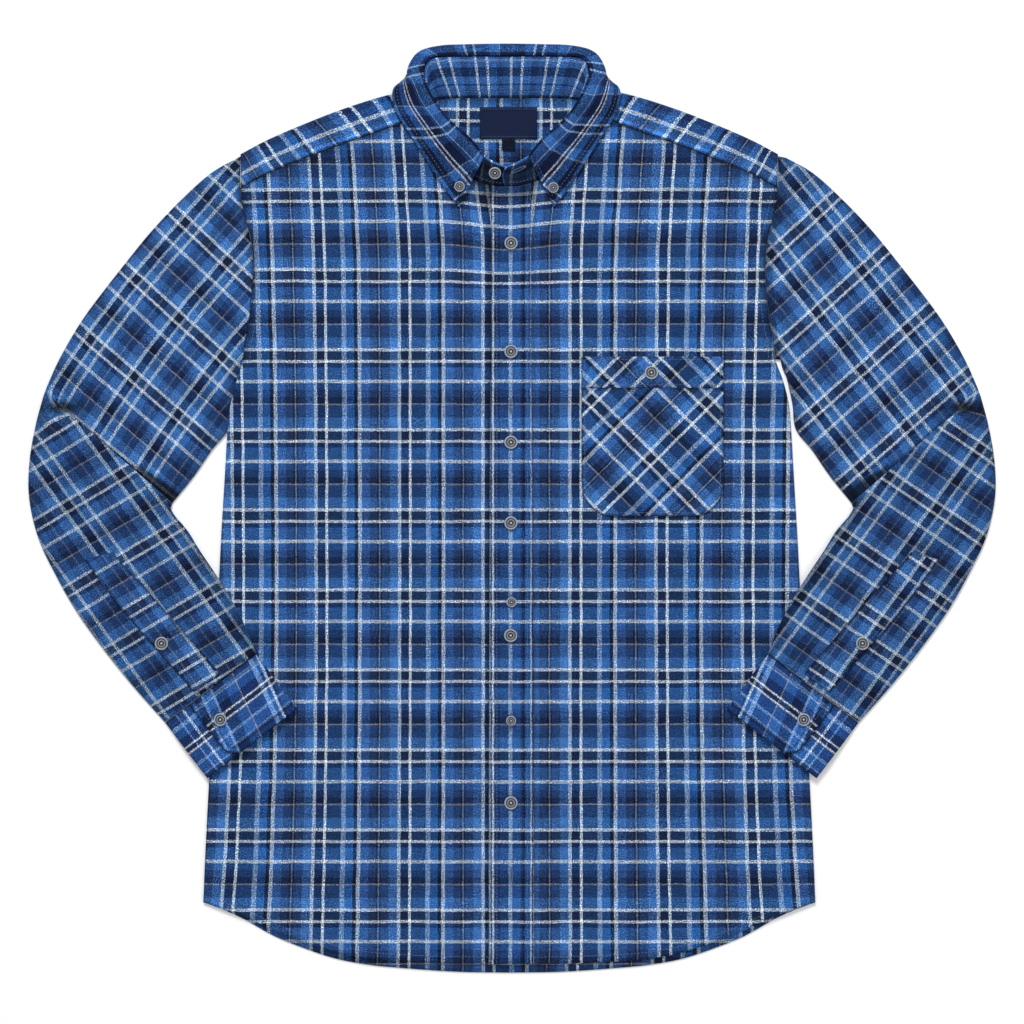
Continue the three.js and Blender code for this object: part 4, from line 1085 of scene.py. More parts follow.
# %% Sleeve tables
UPPER_ARM = [
    (249.6, 325.2, 247.5, 135.7, 0.8, 1, 0), (276.9, 309.6, 248.0, 131.0, 2.2, 0.8, 0),
    (305.4, 283.8, 249.0, 127.0, 3.1, 0.5, 0), (333.0, 254.4, 250.5, 123.0, 3.4, 0.25, 0),
    (359.7, 221.3, 252.0, 119.1, 3.5, 0, 0), (377.2, 199.2, 257.0, 95.2, 3.4, 0, 0),
    (393.8, 177.1, 260.0, 72.2, 3.3, 0, 0), (407.6, 155.0, 275.1, 52.9, 3.0, 0, 0),
    (419.5, 132.9, 291.6, 29.0, 2.6, 0, 0), (428.4, 112.6, 310.9, 5.2, 1.6, 0, 0),
]
FOREARM = [
    (431.6, 103.4, 313.4, 1.2, 5.6, 0, 0), (438.6, 77.0, 312.4, -1.6, 4.8, 0, 0),
    (444.2, 44.0, 310.4, -5.0, 3.7, 0, 0), (444.6, 10.0, 307.3, -9.2, 3.4, 0, 0.2),
    (436.1, -27.1, 301.8, -15.2, 3.4, 0, 0.6), (419.5, -62.1, 295.3, -23.5, 3.3, 0, 1),
    (401.1, -94.3, 286.1, -38.5, 3.2, 0, 1), (375.4, -130.2, 266.8, -67.6, 2.9, 0, 1),
    (348.7, -163.3, 247.5, -101.7, 2.5, 0, 1), (319.2, -196.4, 234.6, -132.9, 1.6, 0, 1),
]
ELBOW_ROW, BESIDE_BODY = len(UPPER_ARM) - 1, 7.5
SLEEVE_FOLDS = [
    (262, 150, 318, 236, 13, 1.3), (330, 20, 400, 66, 11, 2.0),
    (352, -8, 430, 10, 12, 1.4), (300, -40, 352, -84, 12, 1.2),
]
SLEEVE_CREASES = [
    (254, 232, 286, 262, 7, 0.8), (253, 196, 300, 222, 6, -0.6), (256, 168, 306, 176, 7, 0.7),
    (262, 118, 330, 128, 9, 0.7), (276, 84, 350, 112, 8, -0.5), (322, 236, 352, 196, 12, 0.6),
    (300, 58, 362, 92, 8, 0.7), (344, 60, 402, 96, 7, 0.6), (404, 118, 424, 96, 5, -1.5),
    (398, 92, 436, 70, 6, 1.1), (404, 74, 440, 44, 6, -0.7), (372, 52, 430, 26, 7, 0.8),
    (330, -12, 372, 18, 7, -0.6), (318, -22, 366, -40, 8, 0.7), (388, -20, 434, -34, 9, 0.6),
    (300, -56, 334, -64, 7, -0.6), (392, -70, 366, -104, 9, 0.6), (282, -82, 306, -108, 7, 0.6),
    (338, -150, 322, -176, 6, 0.7), (300, -156, 286, -172, 5, 0.6), (262, -112, 252, -134, 6, 0.7),
    (276, -134, 264, -150, 5, -0.5), (352, -132, 340, -152, 6, -0.5), (356, 150, 384, 168, 10, 0.5),
]


def sleeve_section(row):
    """Smooth row of the table; the upper arm ends and the forearm starts at the elbow fold."""
    if row <= ELBOW_ROW:
        table, place = UPPER_ARM, row / ELBOW_ROW
    else:
        table, place = FOREARM, (row - ELBOW_ROW - 1) / (len(FOREARM) - 1)
    return through([Vector(r) for r in table], place)


def rest_height(x, y):
    outside = abs(x - BODY_X) - half_width(y)
    shoulder = FRONT_BOTTOM + CLOTH + 1.0
    if outside < 12:
        return shoulder + puff(x, y) * smooth(-outside / 3)
    return shoulder * (1 - smooth((outside - 12) / 36))


def bulge(share):
    return math.sqrt(max(0.0, 1 - (2 * share - 1) ** 4))


def sleeve_spot(sign, row, section, share):
    out_x, out_y, in_x, in_y, _, armhole, _ = section
    seam_y = mix(325.2, 135.7, share)
    curve = half_width(seam_y) - mix(247.0, 245.0, share)
    x = sign * (mix(out_x, in_x, share) + curve * armhole)
    y = mix(out_y, in_y, share)
    # The first row is the armhole seam, and the rows beside the body stay clear of it
    clear = half_width(y) + SEAM
    if row < 0.001 or (row < BESIDE_BODY and abs(x - BODY_X) < clear):
        x = BODY_X + sign * clear
    return x, y


def sleeve_heights(x, y, section, share):
    """Heights of the underside and of the top layer."""
    puffed, over = section[4], section[6]
    rest = over * rest_height(x, y)
    side = abs(x)
    folds = ridges(SLEEVE_FOLDS, side, y) + ridges(SLEEVE_CREASES, side, y)
    folds += 0.55 * slack(x, y, 36, 11.0) + 0.25 * slack(x, y, 15, 12.0)
    return rest, rest + 2 * CLOTH + SEAM + (puffed + folds) * bulge(share)


# Rows of the grid: (table row, how far the elbow fold has gone from 0 to 1)
UPPER_ROWS = [(ELBOW_ROW * k / 108, 0.0) for k in range(109)]
FOLD_ROWS = [(ELBOW_ROW, k / 10) for k in range(1, 10)]
FOREARM_ROWS = [(ELBOW_ROW + 1 + 9 * k / 112, 1.0) for k in range(113)]
SLEEVE_ROWS = UPPER_ROWS + FOLD_ROWS + FOREARM_ROWS
ROW_PITCH = 22.0
TOP_STEPS, SIDE_STEPS, UNDER_STEPS = 58, 4, 22
RING = TOP_STEPS + UNDER_STEPS + 2 * SIDE_STEPS
# The elbow fold's ten steps: how far the cloth has run along the arm in mm, and its share of the rise
FOLD_PATH = [
    (0.0, 0.0), (3.0, 0.05), (6.5, 0.12), (8.0, 0.3), (6.5, 0.48), (2.5, 0.55), (-1.5, 0.62),
    (-2.6, 0.8), (-1.4, 0.95), (0.6, 1.0),
]
DOWN_ARM = (0.654, -0.757)


def ring_share(k, top=TOP_STEPS, under=UNDER_STEPS):
    """Where a ring's point is: share across, place round a side or None, and 1 on the underside."""
    if k <= top:
        return k / top, None, 0
    k -= top
    if k < SIDE_STEPS:
        return 1.0, k / SIDE_STEPS, 0
    k -= SIDE_STEPS
    if k <= under:
        return 1 - k / under, None, 1
    return 0.0, 1 - (k - under) / SIDE_STEPS, 0


def inside_of(share):
    """Leaves room for the round sides."""
    return mix(0.016, 0.984, share)


def round_side(x, y, other, arc, reach, bottom, top):
    """Round a tube's side, away from the other one, from the top layer to the underside."""
    out = Vector((x - other[0], y - other[1])).normalized()
    reach *= math.sin(math.pi * arc)
    height = mix(bottom, top, 0.5 + 0.5 * math.cos(math.pi * arc))
    return x + out.x * reach, y + out.y * reach, height


def sleeve_point(sign, row_place, ring_place):
    row, fold = SLEEVE_ROWS[row_place]
    share, arc, under = ring_share(ring_place)
    section = sleeve_section(row)
    inside = inside_of(share)
    x, y = sleeve_spot(sign, row, section, inside)
    bottom, top = sleeve_heights(x, y, section, inside)
    if row <= ELBOW_ROW and arc is None and not under:
        top = mix(top, max(bottom + 2 * CLOTH + 0.4, top - 2.0), under_lip(row, 0, share))
    if 0 < fold < 1:
        last = sleeve_section(ELBOW_ROW + 1)
        x1, y1 = sleeve_spot(sign, ELBOW_ROW + 1, last, inside)
        bottom1, top1 = sleeve_heights(x1, y1, last, inside)
        reach, rise = FOLD_PATH[round(fold * 10)]
        deep = smooth((share - 0.05) / 0.25) * (1 - under) * (1 if arc is None else 1 - arc)
        x = mix(x, x1, fold) + sign * DOWN_ARM[0] * reach * deep
        y = mix(y, y1, fold) + DOWN_ARM[1] * reach * deep
        top = mix(top, top1, mix(fold, rise, deep))
        bottom = mix(bottom, bottom1, fold)
    if arc is not None:
        return round_side(x, y, sleeve_spot(sign, row, section, 1 - inside), arc, 1.6, bottom, top)
    return x, y, bottom if under else top


def turned(x, y, angle):
    """Places across and down a cloth whose warp is turned from vertical."""
    c, s = math.cos(math.radians(angle)), math.sin(math.radians(angle))
    return x * c - y * s, -x * s - y * c


# How the check lies on each sleeve. Upper arm: the warp's and the weft's turn at a spot near the
# shoulder, how much each straightens per mm down the sleeve, the first white line across and down
# from that spot, and the stretch of each repeat. Forearm: both turns, first lines, stretch, and
# whole repeats to add, so that the two maps nearly meet at the elbow.
UPPER_SPOT = (300.8, 219.4)
UPPER_CHECK = {
    -1: (41, 43, 0.026, 0.022, -19.8, 31.3, 1.0, 1.063),
    1: (38, 42.5, 0.0, 0.01, 9.9, 9.7, 0.941, 1.083),
}
LOWER_CHECK = {
    -1: (36, 30.5, 277.9, -146.6, 0.948, 1.083, -52.8, 291.2),
    1: (36, 34, 310.0, -154.7, 1.0, 1.069, 52.8, 364.0),
}


def upper_cut(sign, side, y):
    warp_turn, weft_turn, warp_bend, weft_bend, across_from, down_from, *scales = UPPER_CHECK[sign]
    dx, dy = side - UPPER_SPOT[0], y - UPPER_SPOT[1]
    along = max(0.0, dx * 0.643 - dy * 0.766)
    across = turned(dx, dy, warp_bend * along - warp_turn)[0]
    down = turned(dx, dy, weft_bend * along - weft_turn)[1]
    return sign * (across - across_from) * scales[0] + 1.6, (down - down_from) * scales[1] + 1.6


def lower_cut(sign, side, y):
    warp_turn, weft_turn, across_from, down_from, *scales, more, lower = LOWER_CHECK[sign]
    across, down = turned(side, y, warp_turn)[0], turned(side, y, weft_turn)[1]
    across = sign * (across - across_from) * scales[0] + 1.6 + more
    return across, (down - down_from) * scales[1] + 1.6 + lower


def sleeve_cut_at(sign, x, y, fold):
    upper, fore = upper_cut(sign, abs(x), y), lower_cut(sign, abs(x), y)
    return mix(upper[0], fore[0], fold), mix(upper[1], fore[1], fold)


def under_lip(row, fold, share):
    """1 where the upper arm dives under the forearm's lip, a wedge that widens toward the body."""
    if row > ELBOW_ROW:
        return 0.0
    if fold > 0:
        return smooth((0.62 - fold) / 0.06) * smooth((share - 0.1) / 0.3)
    back = (ELBOW_ROW - row) * ROW_PITCH
    wide = 0.6 + 8.0 * smooth((share - 0.58) / 0.42)
    return smooth((share - 0.6) / 0.2) * (1 - smooth((back - 0.7 * wide) / (0.3 * wide)))


# Painted shade under the forearm's lip, in the pucker at the outer elbow, along both folded edges, in
# the armhole seam and on the underside. The forearm is also made a little darker.
def sleeve_shade(row_place, ring_place, x, y):
    row, fold = SLEEVE_ROWS[row_place]
    share, _, under = ring_share(ring_place)
    if under:
        return 0.9
    # Painted shade in the wedge under the forearm's lip
    lip = 0.62 * under_lip(row, fold, share)
    pucker = 0.8 * bell(math.hypot((abs(x) - 413) / 17, (y - 93) / 6), 1)
    inner = 0.22 * smooth((share - 0.9) / 0.1) + 0.12 * smooth((0.06 - share) / 0.06)
    armhole = 0.3 * bell(row * ROW_PITCH, 3.0)
    forearm = 0.08 * smooth((row + fold - ELBOW_ROW) / 2)
    return (1 - lip) * (1 - min(0.7, pucker)) * (1 - inner) * (1 - armhole) * (1 - forearm)


def sleeve(sign, name):
    rows = len(SLEEVE_ROWS) - 1
    points = {}

    def grid_place(u, v):
        return round(v * rows), round(u * RING) % RING

    def place(u, v):
        key = grid_place(u, v)
        if key not in points:
            points[key] = sleeve_point(sign, *key)
        return points[key]

    def cut(u, v):
        """The check changes from the upper arm's to the forearm's at the fold, or slowly beside it."""
        row_place, ring_place = grid_place(u, v)
        x, y, _ = place(u, v)
        row, fold = SLEEVE_ROWS[row_place]
        soft = 1 - smooth((ring_share(ring_place)[0] - 0.04) / 0.16)
        gradual = smooth((row + (fold if row == ELBOW_ROW else 0) - ELBOW_ROW + 0.7) / 3.0)
        return sleeve_cut_at(sign, x, y, mix(1.0 if fold >= 0.5 else 0.0, gradual, soft))

    def shade(u, v):
        return sleeve_shade(*grid_place(u, v), *place(u, v)[:2])
    return panel(name, RING, rows, place, cut, SLEEVE_CLOTH, tube=True, shade=shade)


SIDES = ((-1, "right"), (1, "left"))
for sign, side_name in SIDES:
    sleeve_cloth = sleeve(sign, f"sleeve_{side_name}_cloth")
    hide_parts(f"sleeve_{side_name}")
print("sleeve faces:", len(sleeve_cloth.data.polygons))

# %% [markdown]
# ## Cuffs and the strips above them
# A cuff is a stiffer flattened tube, made in the same way with fewer rows. The end that carries
# the buttonhole laps over the other one: it is a strip of its own, with one corner cut round. The
# strip above the cuff covers the sleeve's opening and is laid on the sleeve.

# %% Cuff tube and flap
CUFF = [
    (318.8, -197.0, 234.2, -133.5, 1.4), (299.5, -222.2, 215.7, -158.2, 2.0),
    (279.7, -247.9, 196.9, -183.5, 1.6),
]
CUFF_FLAP, FLAP_END, FLAP_CORNER = 0.275, 0.995, 16.0
CUFF_WIDTH, CUFF_DEPTH = 106, 62
CUFF_STITCHES = (6, 54.5)
CUFF_ROWS, CUFF_TOP, CUFF_UNDER = 30, 50, 20
CUFF_RING = CUFF_TOP + CUFF_UNDER + 2 * SIDE_STEPS


def cuff_spot(sign, down, share):
    out_x, out_y, in_x, in_y, puffed = through([Vector(r) for r in CUFF], down)
    return sign * mix(out_x, in_x, share), mix(out_y, in_y, share), puffed


def cuff_top(sign, down, share):
    x, y, puffed = cuff_spot(sign, down, share)
    groove = sum(bell(down * CUFF_DEPTH - line, 1.5) for line in CUFF_STITCHES)
    wave = 0.35 * slack(x, y, 22, 14.0)
    return rest_height(x, y) + 2 * DOUBLED + SEAM + (puffed + wave) * bulge(share) - 0.25 * groove


def cuff_point(sign, down, ring_place):
    share, arc, under = ring_share(ring_place, CUFF_TOP, CUFF_UNDER)
    inside = inside_of(share)
    x, y, _ = cuff_spot(sign, down, inside)
    bottom, top = rest_height(x, y), cuff_top(sign, down, inside) - 0.15
    if arc is not None:
        return round_side(x, y, cuff_spot(sign, down, 1 - inside), arc, 1.5, bottom, top)
    return x, y, bottom if under else top


def rounded(radius, distance):
    """How far a round corner stands back, at a distance from where its curve would meet the edge."""
    return radius - math.sqrt(max(0.0, radius ** 2 - (radius - min(radius, distance)) ** 2))


def cuff(sign, name):
    def place(u, v):
        return cuff_point(sign, 1 - v, round(u * CUFF_RING) % CUFF_RING)

    def cut(u, v):
        return u * CUFF_RING / CUFF_TOP * CUFF_WIDTH, (1 - v) * CUFF_DEPTH - 4.2

    def shade(u, v):
        """Painted shade at both long edges and under the flap's end."""
        share, down = u * CUFF_RING / CUFF_TOP, 1 - v
        edge = CUFF_FLAP + rounded(FLAP_CORNER, v * CUFF_DEPTH) / CUFF_WIDTH
        shadow = 0.5 * bell((edge - share) * CUFF_WIDTH, 2.2) if share < edge else 0
        upper, wrist = 0.4 * bell(down * CUFF_DEPTH, 1.2), 0.35 * bell(v * CUFF_DEPTH, 1.5)
        return (1 - shadow) * (1 - upper) * (1 - wrist)
    return panel(
        name, CUFF_RING, CUFF_ROWS, place, cut, CUFF_CLOTH, tube=True, thickness=CLOTH, shade=shade)


def cuff_flap(sign, name):
    """The lapped end: its corner at the wrist is cut round."""
    def spot(u, v):
        share = mix(CUFF_FLAP, FLAP_END, u)
        corner = rounded(FLAP_CORNER, (share - CUFF_FLAP) * CUFF_WIDTH)
        return share, mix(0.0, 1.0 - corner / CUFF_DEPTH, 1 - v)

    def place(u, v):
        share, down = spot(u, v)
        x, y, _ = cuff_spot(sign, down, share)
        edge = smooth((share - CUFF_FLAP) * CUFF_WIDTH / 3)
        return x, y, cuff_top(sign, down, share) + mix(1.15, 1.45, edge)

    def cut(u, v):
        share, down = spot(u, v)
        return share * CUFF_WIDTH + 14 * (down - 0.3), down * CUFF_DEPTH

    def shade(u, v):
        """Painted shade at the edges and in the rows of stitches."""
        upper = spot(u, v)[1] * CUFF_DEPTH
        rim = min(u * (FLAP_END - CUFF_FLAP) * CUFF_WIDTH, v * CUFF_DEPTH)
        edges = (1 - 0.4 * bell(rim, 1.0) - 0.3 * bell(rim - STITCH_LINE, 1.0))
        return edges * (1 - 0.45 * bell(upper, 1.2) - 0.3 * bell(upper - CUFF_STITCHES[0], 1.1))
    return panel(name, 60, 50, place, cut, CUFF_CLOTH, thickness=CLOTH, shade=shade)


for sign, side_name in SIDES:
    cuff_cloth = cuff(sign, f"cuff_{side_name}_cloth")
    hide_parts(f"cuff_{side_name}")
    cuff_flap(sign, f"cuff_flap_{side_name}")

# %% Strip above each cuff
GAUNTLET = [
    (14.8, 0.25, 0.45), (15, 0.255, 0.457), (16, 0.28, 0.505), (17, 0.305, 0.545),
    (18, 0.34, 0.59), (18.85, 0.37, 0.64),
]
gauntlet_from = Table(GAUNTLET, 1)
gauntlet_to = Table(GAUNTLET, 2)


STRIP_TOP, STRIP_END, STRIP_WIDTH = 14.8, 18.85, 26


def strip_spot(sign, row, across):
    share = mix(gauntlet_from(row), gauntlet_to(row), across)
    section = sleeve_section(row)
    x, y = sleeve_spot(sign, row, section, share)
    return x, y, sleeve_heights(x, y, section, share)[1]


def gauntlet(sign, name):
    def spot(u, v):
        return strip_spot(sign, mix(STRIP_END, STRIP_TOP, v), u)

    def place(u, v):
        x, y, top = spot(u, v)
        pull = bell(min(u, 1 - u) * STRIP_WIDTH - 3.5, 1.2)
        return x, y, top + 2 * LAYER + CLOTH - 0.2 * pull

    def cut(u, v):
        x, y, _ = spot(u, v)
        across, down = sleeve_cut_at(sign, x, y, 1.0)
        return across + 31, down + 24

    # Painted shade along both long edges.
    def shade(u, v):
        return 1 - 0.5 * bell(min(u, 1 - u) * STRIP_WIDTH, 1.2)
    return panel(name, 22, 90, place, cut, SLEEVE_CLOTH, shade=shade)


for sign, side_name in SIDES:
    strip = gauntlet(sign, f"sleeve_placket_{side_name}_cloth")
    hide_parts(f"sleeve_placket_{side_name}")

# %% [markdown]
# ## Pocket
# The pocket and its band are cut on the bias, so their check runs at 45 degrees. A patch laid on
# the front follows the front's own surface, one layer higher, and its turned-in edge is thicker.

# %% Pocket and its band
POCKET_LEFT, POCKET_RIGHT = 63.8, 194.1
POCKET_TOP, POCKET_BAND, POCKET_BOTTOM = 139.4, 110.9, -6.9
CORNER, POCKET_STITCHES = 30, 3


def pocket_spot(u, v):
    x = mix(POCKET_LEFT, POCKET_RIGHT, u)
    from_side = min(x - POCKET_LEFT, POCKET_RIGHT - x)
    return x, mix(POCKET_BOTTOM + rounded(CORNER, from_side), POCKET_BAND - SEAM, v)


def pocket_edge(x, y):
    """Distance from the pocket's sides and round bottom."""
    from_side = min(x - POCKET_LEFT, POCKET_RIGHT - x)
    from_bottom = y - POCKET_BOTTOM
    if from_side < CORNER and from_bottom < CORNER:
        return CORNER - math.hypot(CORNER - from_side, CORNER - from_bottom)
    return min(from_side, from_bottom)


def pocket_place(u, v):
    x, y = pocket_spot(u, v)
    edge = pocket_edge(x, y)
    turned_in = 0.45 * (1 - smooth((edge - 7) / 2))
    groove = 0.25 * bell(edge - POCKET_STITCHES, 1.2)
    body = 0.7 * smooth((edge - 8) / 30) * (0.8 + 0.5 * slack(x, y, 38, 15.0))
    return x, y, front_left_top(x, y) + LAYER + CLOTH + turned_in - groove + body


def pocket_cut(u, v):
    x, y = pocket_spot(u, v)
    across, down = turned(x, y, 45)
    return across + 25.8, down - 16.4


def pocket_band_spot(u, v):
    return mix(POCKET_LEFT, POCKET_RIGHT, u), mix(POCKET_BAND, POCKET_TOP, v)


def pocket_band_place(u, v):
    x, y = pocket_band_spot(u, v)
    from_edge = min(x - POCKET_LEFT, POCKET_RIGHT - x, y - POCKET_BAND, POCKET_TOP - y)
    groove = 0.25 * bell(from_edge - POCKET_STITCHES, 1.2)
    height = LAYER + DOUBLED + 0.35 - groove + 0.25 * slack(x, y, 20, 16.0)
    return x, y, front_left_top(x, y) + height


def pocket_band_cut(u, v):
    across, down = turned(*pocket_band_spot(u, v), -45)
    return across + 47, down + 31


# Painted shade round the pocket's edge and under its band.
def pocket_shade(u, v):
    x, y = pocket_spot(u, v)
    edge = pocket_edge(x, y)
    under_band = 0.35 * bell(POCKET_BAND - y, 2.5)
    return (1 - 0.3 * bell(edge, 1.2)) * (1 - under_band)


pocket = panel("pocket_cloth", 66, 60, pocket_place, pocket_cut, BODY_CLOTH, shade=pocket_shade)
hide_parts("pocket")
pocket_band = panel(
    "pocket_band_cloth", 66, 18, pocket_band_place, pocket_band_cut, BODY_CLOTH, thickness=1.3)
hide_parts("pocket_band")

# %% [markdown]
# ## Label and size tab
# Both are woven satin ribbon in navy, left bare: no name, no size. Satin has long floating
# threads that all run one way, so a fine stretched noise gives its colour a grain and its bump a
# rib, and it is smoother than flannel.

# %% Satin ribbon
def satin(name, colour):
    ribbon = Recipe(name)
    thread = ribbon.grain(ribbon.stretched(ribbon.place_on_cut(), (0.25, 4.0, 1)), 1.0, 2.0, 0.6)
    tone = ribbon.grey(ribbon.sums("MULTIPLY_ADD", thread, 0.7, 0.65))
    colour = ribbon.colour_mix("MULTIPLY", 1.0, (*colour, 1), tone)
    rough = ribbon.sums("MULTIPLY_ADD", thread, 0.2, 0.6)
    return ribbon.finish(colour, rough, thread, 0.35, 0.0002, {"Specular IOR Level": 0.08})


LABEL_SATIN = satin("label satin", (0.007, 0.013, 0.043))
TAB_SATIN = satin("tab satin", (0.004, 0.006, 0.016))


INSIDE_TOP = INSIDE_LOW + INSIDE_RISE + CLOTH / 2


def ribbon(name, box, cloth, material_slot):
    """A ribbon on the inside of the yoke, folded in all round."""
    left, right, top, bottom = box

    def cut(u, v):
        return mix(left, right, u), mix(bottom, top, v)

    def place(u, v):
        x, y = cut(u, v)
        from_edge = min(x - left, right - x, y - bottom, top - y)
        folded = 0.3 * (1 - smooth((from_edge - 2.2) / 0.8))
        return x, y, INSIDE_TOP + LAYER + 1.0 + folded + 0.2 * slack(x, y, 12, 17.0)
    return panel(name, 40, 24, place, cut, cloth, thickness=0.8, material_slot=material_slot)


label = ribbon("label_satin", (-29.4, 23.0, 368.5, 339.4), LABEL_SATIN, "label_cloth")
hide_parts("label")
size_tab = ribbon("size_tab_satin", (-9.2, 2.8, 338.9, 328.9), TAB_SATIN, "tab_cloth")
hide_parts("size_tab")

# %% [markdown]
# ## Seating on the cloth
# Buttons and stitches lie on cloth that is no longer flat. A ray sent straight down finds the
# height and slope of the finished piece, modifiers and all, at any place.

# %% Rays onto finished cloth
bpy.context.view_layer.update()
depsgraph = bpy.context.evaluated_depsgraph_get()
TREES = {}


def surface_at(piece, x, y):
    """The top of the cloth at a place in mm and its normal, or None twice where there is no cloth."""
    if piece.name not in TREES:
        TREES[piece.name] = BVHTree.FromObject(piece, depsgraph)
    start = Vector((x * MM, y * MM, 0.1))
    point, normal, *_ = TREES[piece.name].ray_cast(start, Vector((0, 0, -1)))
    return (point / MM, normal) if point else (None, None)


# %% [markdown]
# ## Buttons
# Horn-like grey plastic with a raised rim, a dish, and a knot of thread. A profile spun round its
# axis gives the body. The dish gets a darker material of its own, by face, and four small dark
# discs of painted shade stand for the holes. Each button is turned to the slope of the cloth under it.

# %% Button materials
def mottled(name, dark, pale, roughness, scale=900.0):
    paint = Recipe(name)
    cloud = paint.grain(paint.add("ShaderNodeTexCoord", {})["Object"], scale, 3.0, 0.6)
    colour = paint.colour_mix("MIX", cloud, (*dark, 1), (*pale, 1))
    rough = paint.sums("MULTIPLY_ADD", cloud, 0.15, roughness)
    return paint.finish(colour, rough, cloud, 0.15, 0.0001)


RIM = mottled("button rim", (0.17, 0.19, 0.22), (0.50, 0.53, 0.57), 0.3)
DISH = mottled("button dish", (0.012, 0.016, 0.03), (0.07, 0.085, 0.12), 0.4)
# Painted shade: the holes are near-black discs, not openings.
HOLE_SHADE = mottled("button hole", (0.004, 0.005, 0.008), (0.012, 0.014, 0.02), 0.8)
KNOT = mottled("button thread", (0.30, 0.31, 0.32), (0.72, 0.72, 0.70), 0.85, 2500.0)

def named(name):
    return bpy.data.objects[name]


# Name, x, y, diameter, and the cloth it is sewn to
BUTTONS = [
    ("button_front_1", -0.9, 243.3, 12.2, placket), ("button_front_2", -0.9, 144.0, 12.2, placket),
    ("button_front_3", -0.9, 60.7, 12.2, placket), ("button_front_4", -0.9, -13.3, 12.2, placket),
    ("button_front_5", -0.5, -86.0, 9.2, placket), ("button_front_6", -1.2, -116.4, 12.2, placket),
    ("button_front_7", -0.8, -194.6, 9.2, placket), ("button_front_8", -0.9, -270.0, 12.2, placket),
    ("button_band", -15.5, 307.7, 11.4, collar_band),
    ("button_collar_right", -47.8, 294.9, 9.7, collar_leaf),
    ("button_collar_left", 37.7, 293.9, 9.7, collar_leaf),
    ("button_pocket", 127.9, 124.7, 12.4, pocket_band),
    ("button_gauntlet_right", -321.4, -123.7, 12.2, named("sleeve_placket_right_cloth")),
    ("button_gauntlet_left", 321.4, -123.7, 12.2, named("sleeve_placket_left_cloth")),
    ("button_cuff_right", -267.1, -193.4, 11.8, named("cuff_flap_right")),
    ("button_cuff_left", 267.1, -193.4, 11.8, named("cuff_flap_left")),
]
# From the axis out and back: share of the radius, height in mm
PROFILE = [
    (0.0, 0.0), (0.72, 0.0), (0.95, 0.7), (1.0, 1.3), (0.99, 1.9), (0.93, 2.3), (0.86, 2.4),
    (0.79, 2.15), (0.72, 1.65), (0.6, 1.5), (0.54, 1.8), (0.46, 1.85), (0.4, 1.5), (0.3, 1.35),
    (0.0, 1.3),
]


# %% Spin, seat and finish each button
def button_body(bm, r):
    verts = [bm.verts.new((share * r, 0, z)) for share, z in PROFILE]
    edges = [bm.edges.new(pair) for pair in zip(verts, verts[1:])]
    bmesh.ops.spin(
        bm, geom=verts + edges, cent=(0, 0, 0), axis=(0, 0, 1), angle=2 * math.pi, steps=32,
        use_merge=True)
    bmesh.ops.remove_doubles(bm, verts=bm.verts, dist=1e-4)
    bmesh.ops.recalc_face_normals(bm, faces=bm.faces)
    for face in bm.faces:
        centre = face.calc_center_median()
        spread = centre.xy.length / r
        in_dish = centre.z > 1 and (spread < 0.48 or 0.56 < spread < 0.76)
        face.material_index = 1 if in_dish else 0
        face.smooth = True


def smooth_faces(verts, material_index):
    for face in {f for v in verts for f in v.link_faces}:
        face.material_index = material_index
        face.smooth = True


def add_round(bm, place, radius, material_index, flat):
    made = bmesh.ops.create_uvsphere(bm, u_segments=10, v_segments=6, radius=radius)["verts"]
    bmesh.ops.scale(bm, vec=(1, 1, flat), verts=made)
    bmesh.ops.translate(bm, vec=place, verts=made)
    smooth_faces(made, material_index)


def seat_matrix(piece, x, y, radius):
    """Turned to the cloth's slope and clear of its highest spot under the button."""
    spots = [surface_at(piece, x, y)]
    for reach in (radius * 0.5, radius):
        for k in range(12):
            angle = 2 * math.pi * k / 12
            spots.append(surface_at(piece, x + math.cos(angle) * reach, y + math.sin(angle) * reach))
    spots = [spot for spot in spots if spot[0] is not None and spot[1].z > 0.6]
    normal = sum((spot[1] for spot in spots), Vector()).normalized()
    centre = spots[0][0]
    highest = max((spot[0] - centre).dot(normal) for spot in spots)
    turn = Vector((0, 0, 1)).rotation_difference(normal).to_matrix().to_4x4()
    return Matrix.Translation(centre + normal * (highest + 0.1)) @ turn


def finished(name, bm, materials):
    bmesh.ops.scale(bm, vec=(MM, MM, MM), verts=bm.verts)
    piece = mesh_object(name, bm, materials)
    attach(piece, "root")
    return piece


for number, (name, x, y, diameter, on) in enumerate(BUTTONS):
    bm = bmesh.new()
    r = diameter / 2
    button_body(bm, r)
    for a in (-0.2, 0.2):
        for b in (-0.2, 0.2):
            add_round(bm, (a * r, b * r, 1.4), 0.13 * r, 2, 0.25)
    add_round(bm, (0, 0, 1.5), 0.17 * r, 3, 0.5)
    turn = Matrix.Rotation(0.7 * number + 0.4, 4, "Z")
    bmesh.ops.transform(bm, matrix=seat_matrix(on, x, y, r) @ turn, verts=bm.verts)
    piece = finished(name + "_turned", bm, [RIM, DISH, HOLE_SHADE, KNOT])
    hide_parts(name)
print("buttons:", len(BUTTONS))

# %% [markdown]
# ## Topstitching and buttonholes
# A stitch is a small flattened bead of thread, half sunk into the cloth. There are a few thousand,
# so each has only a few dozen faces, and all that share a finish are joined as one mesh. Rows
# follow the edges of the pieces. A buttonhole is the same stitch set round a slit.

# %% Rows of stitches
AT_A_TIME = 40


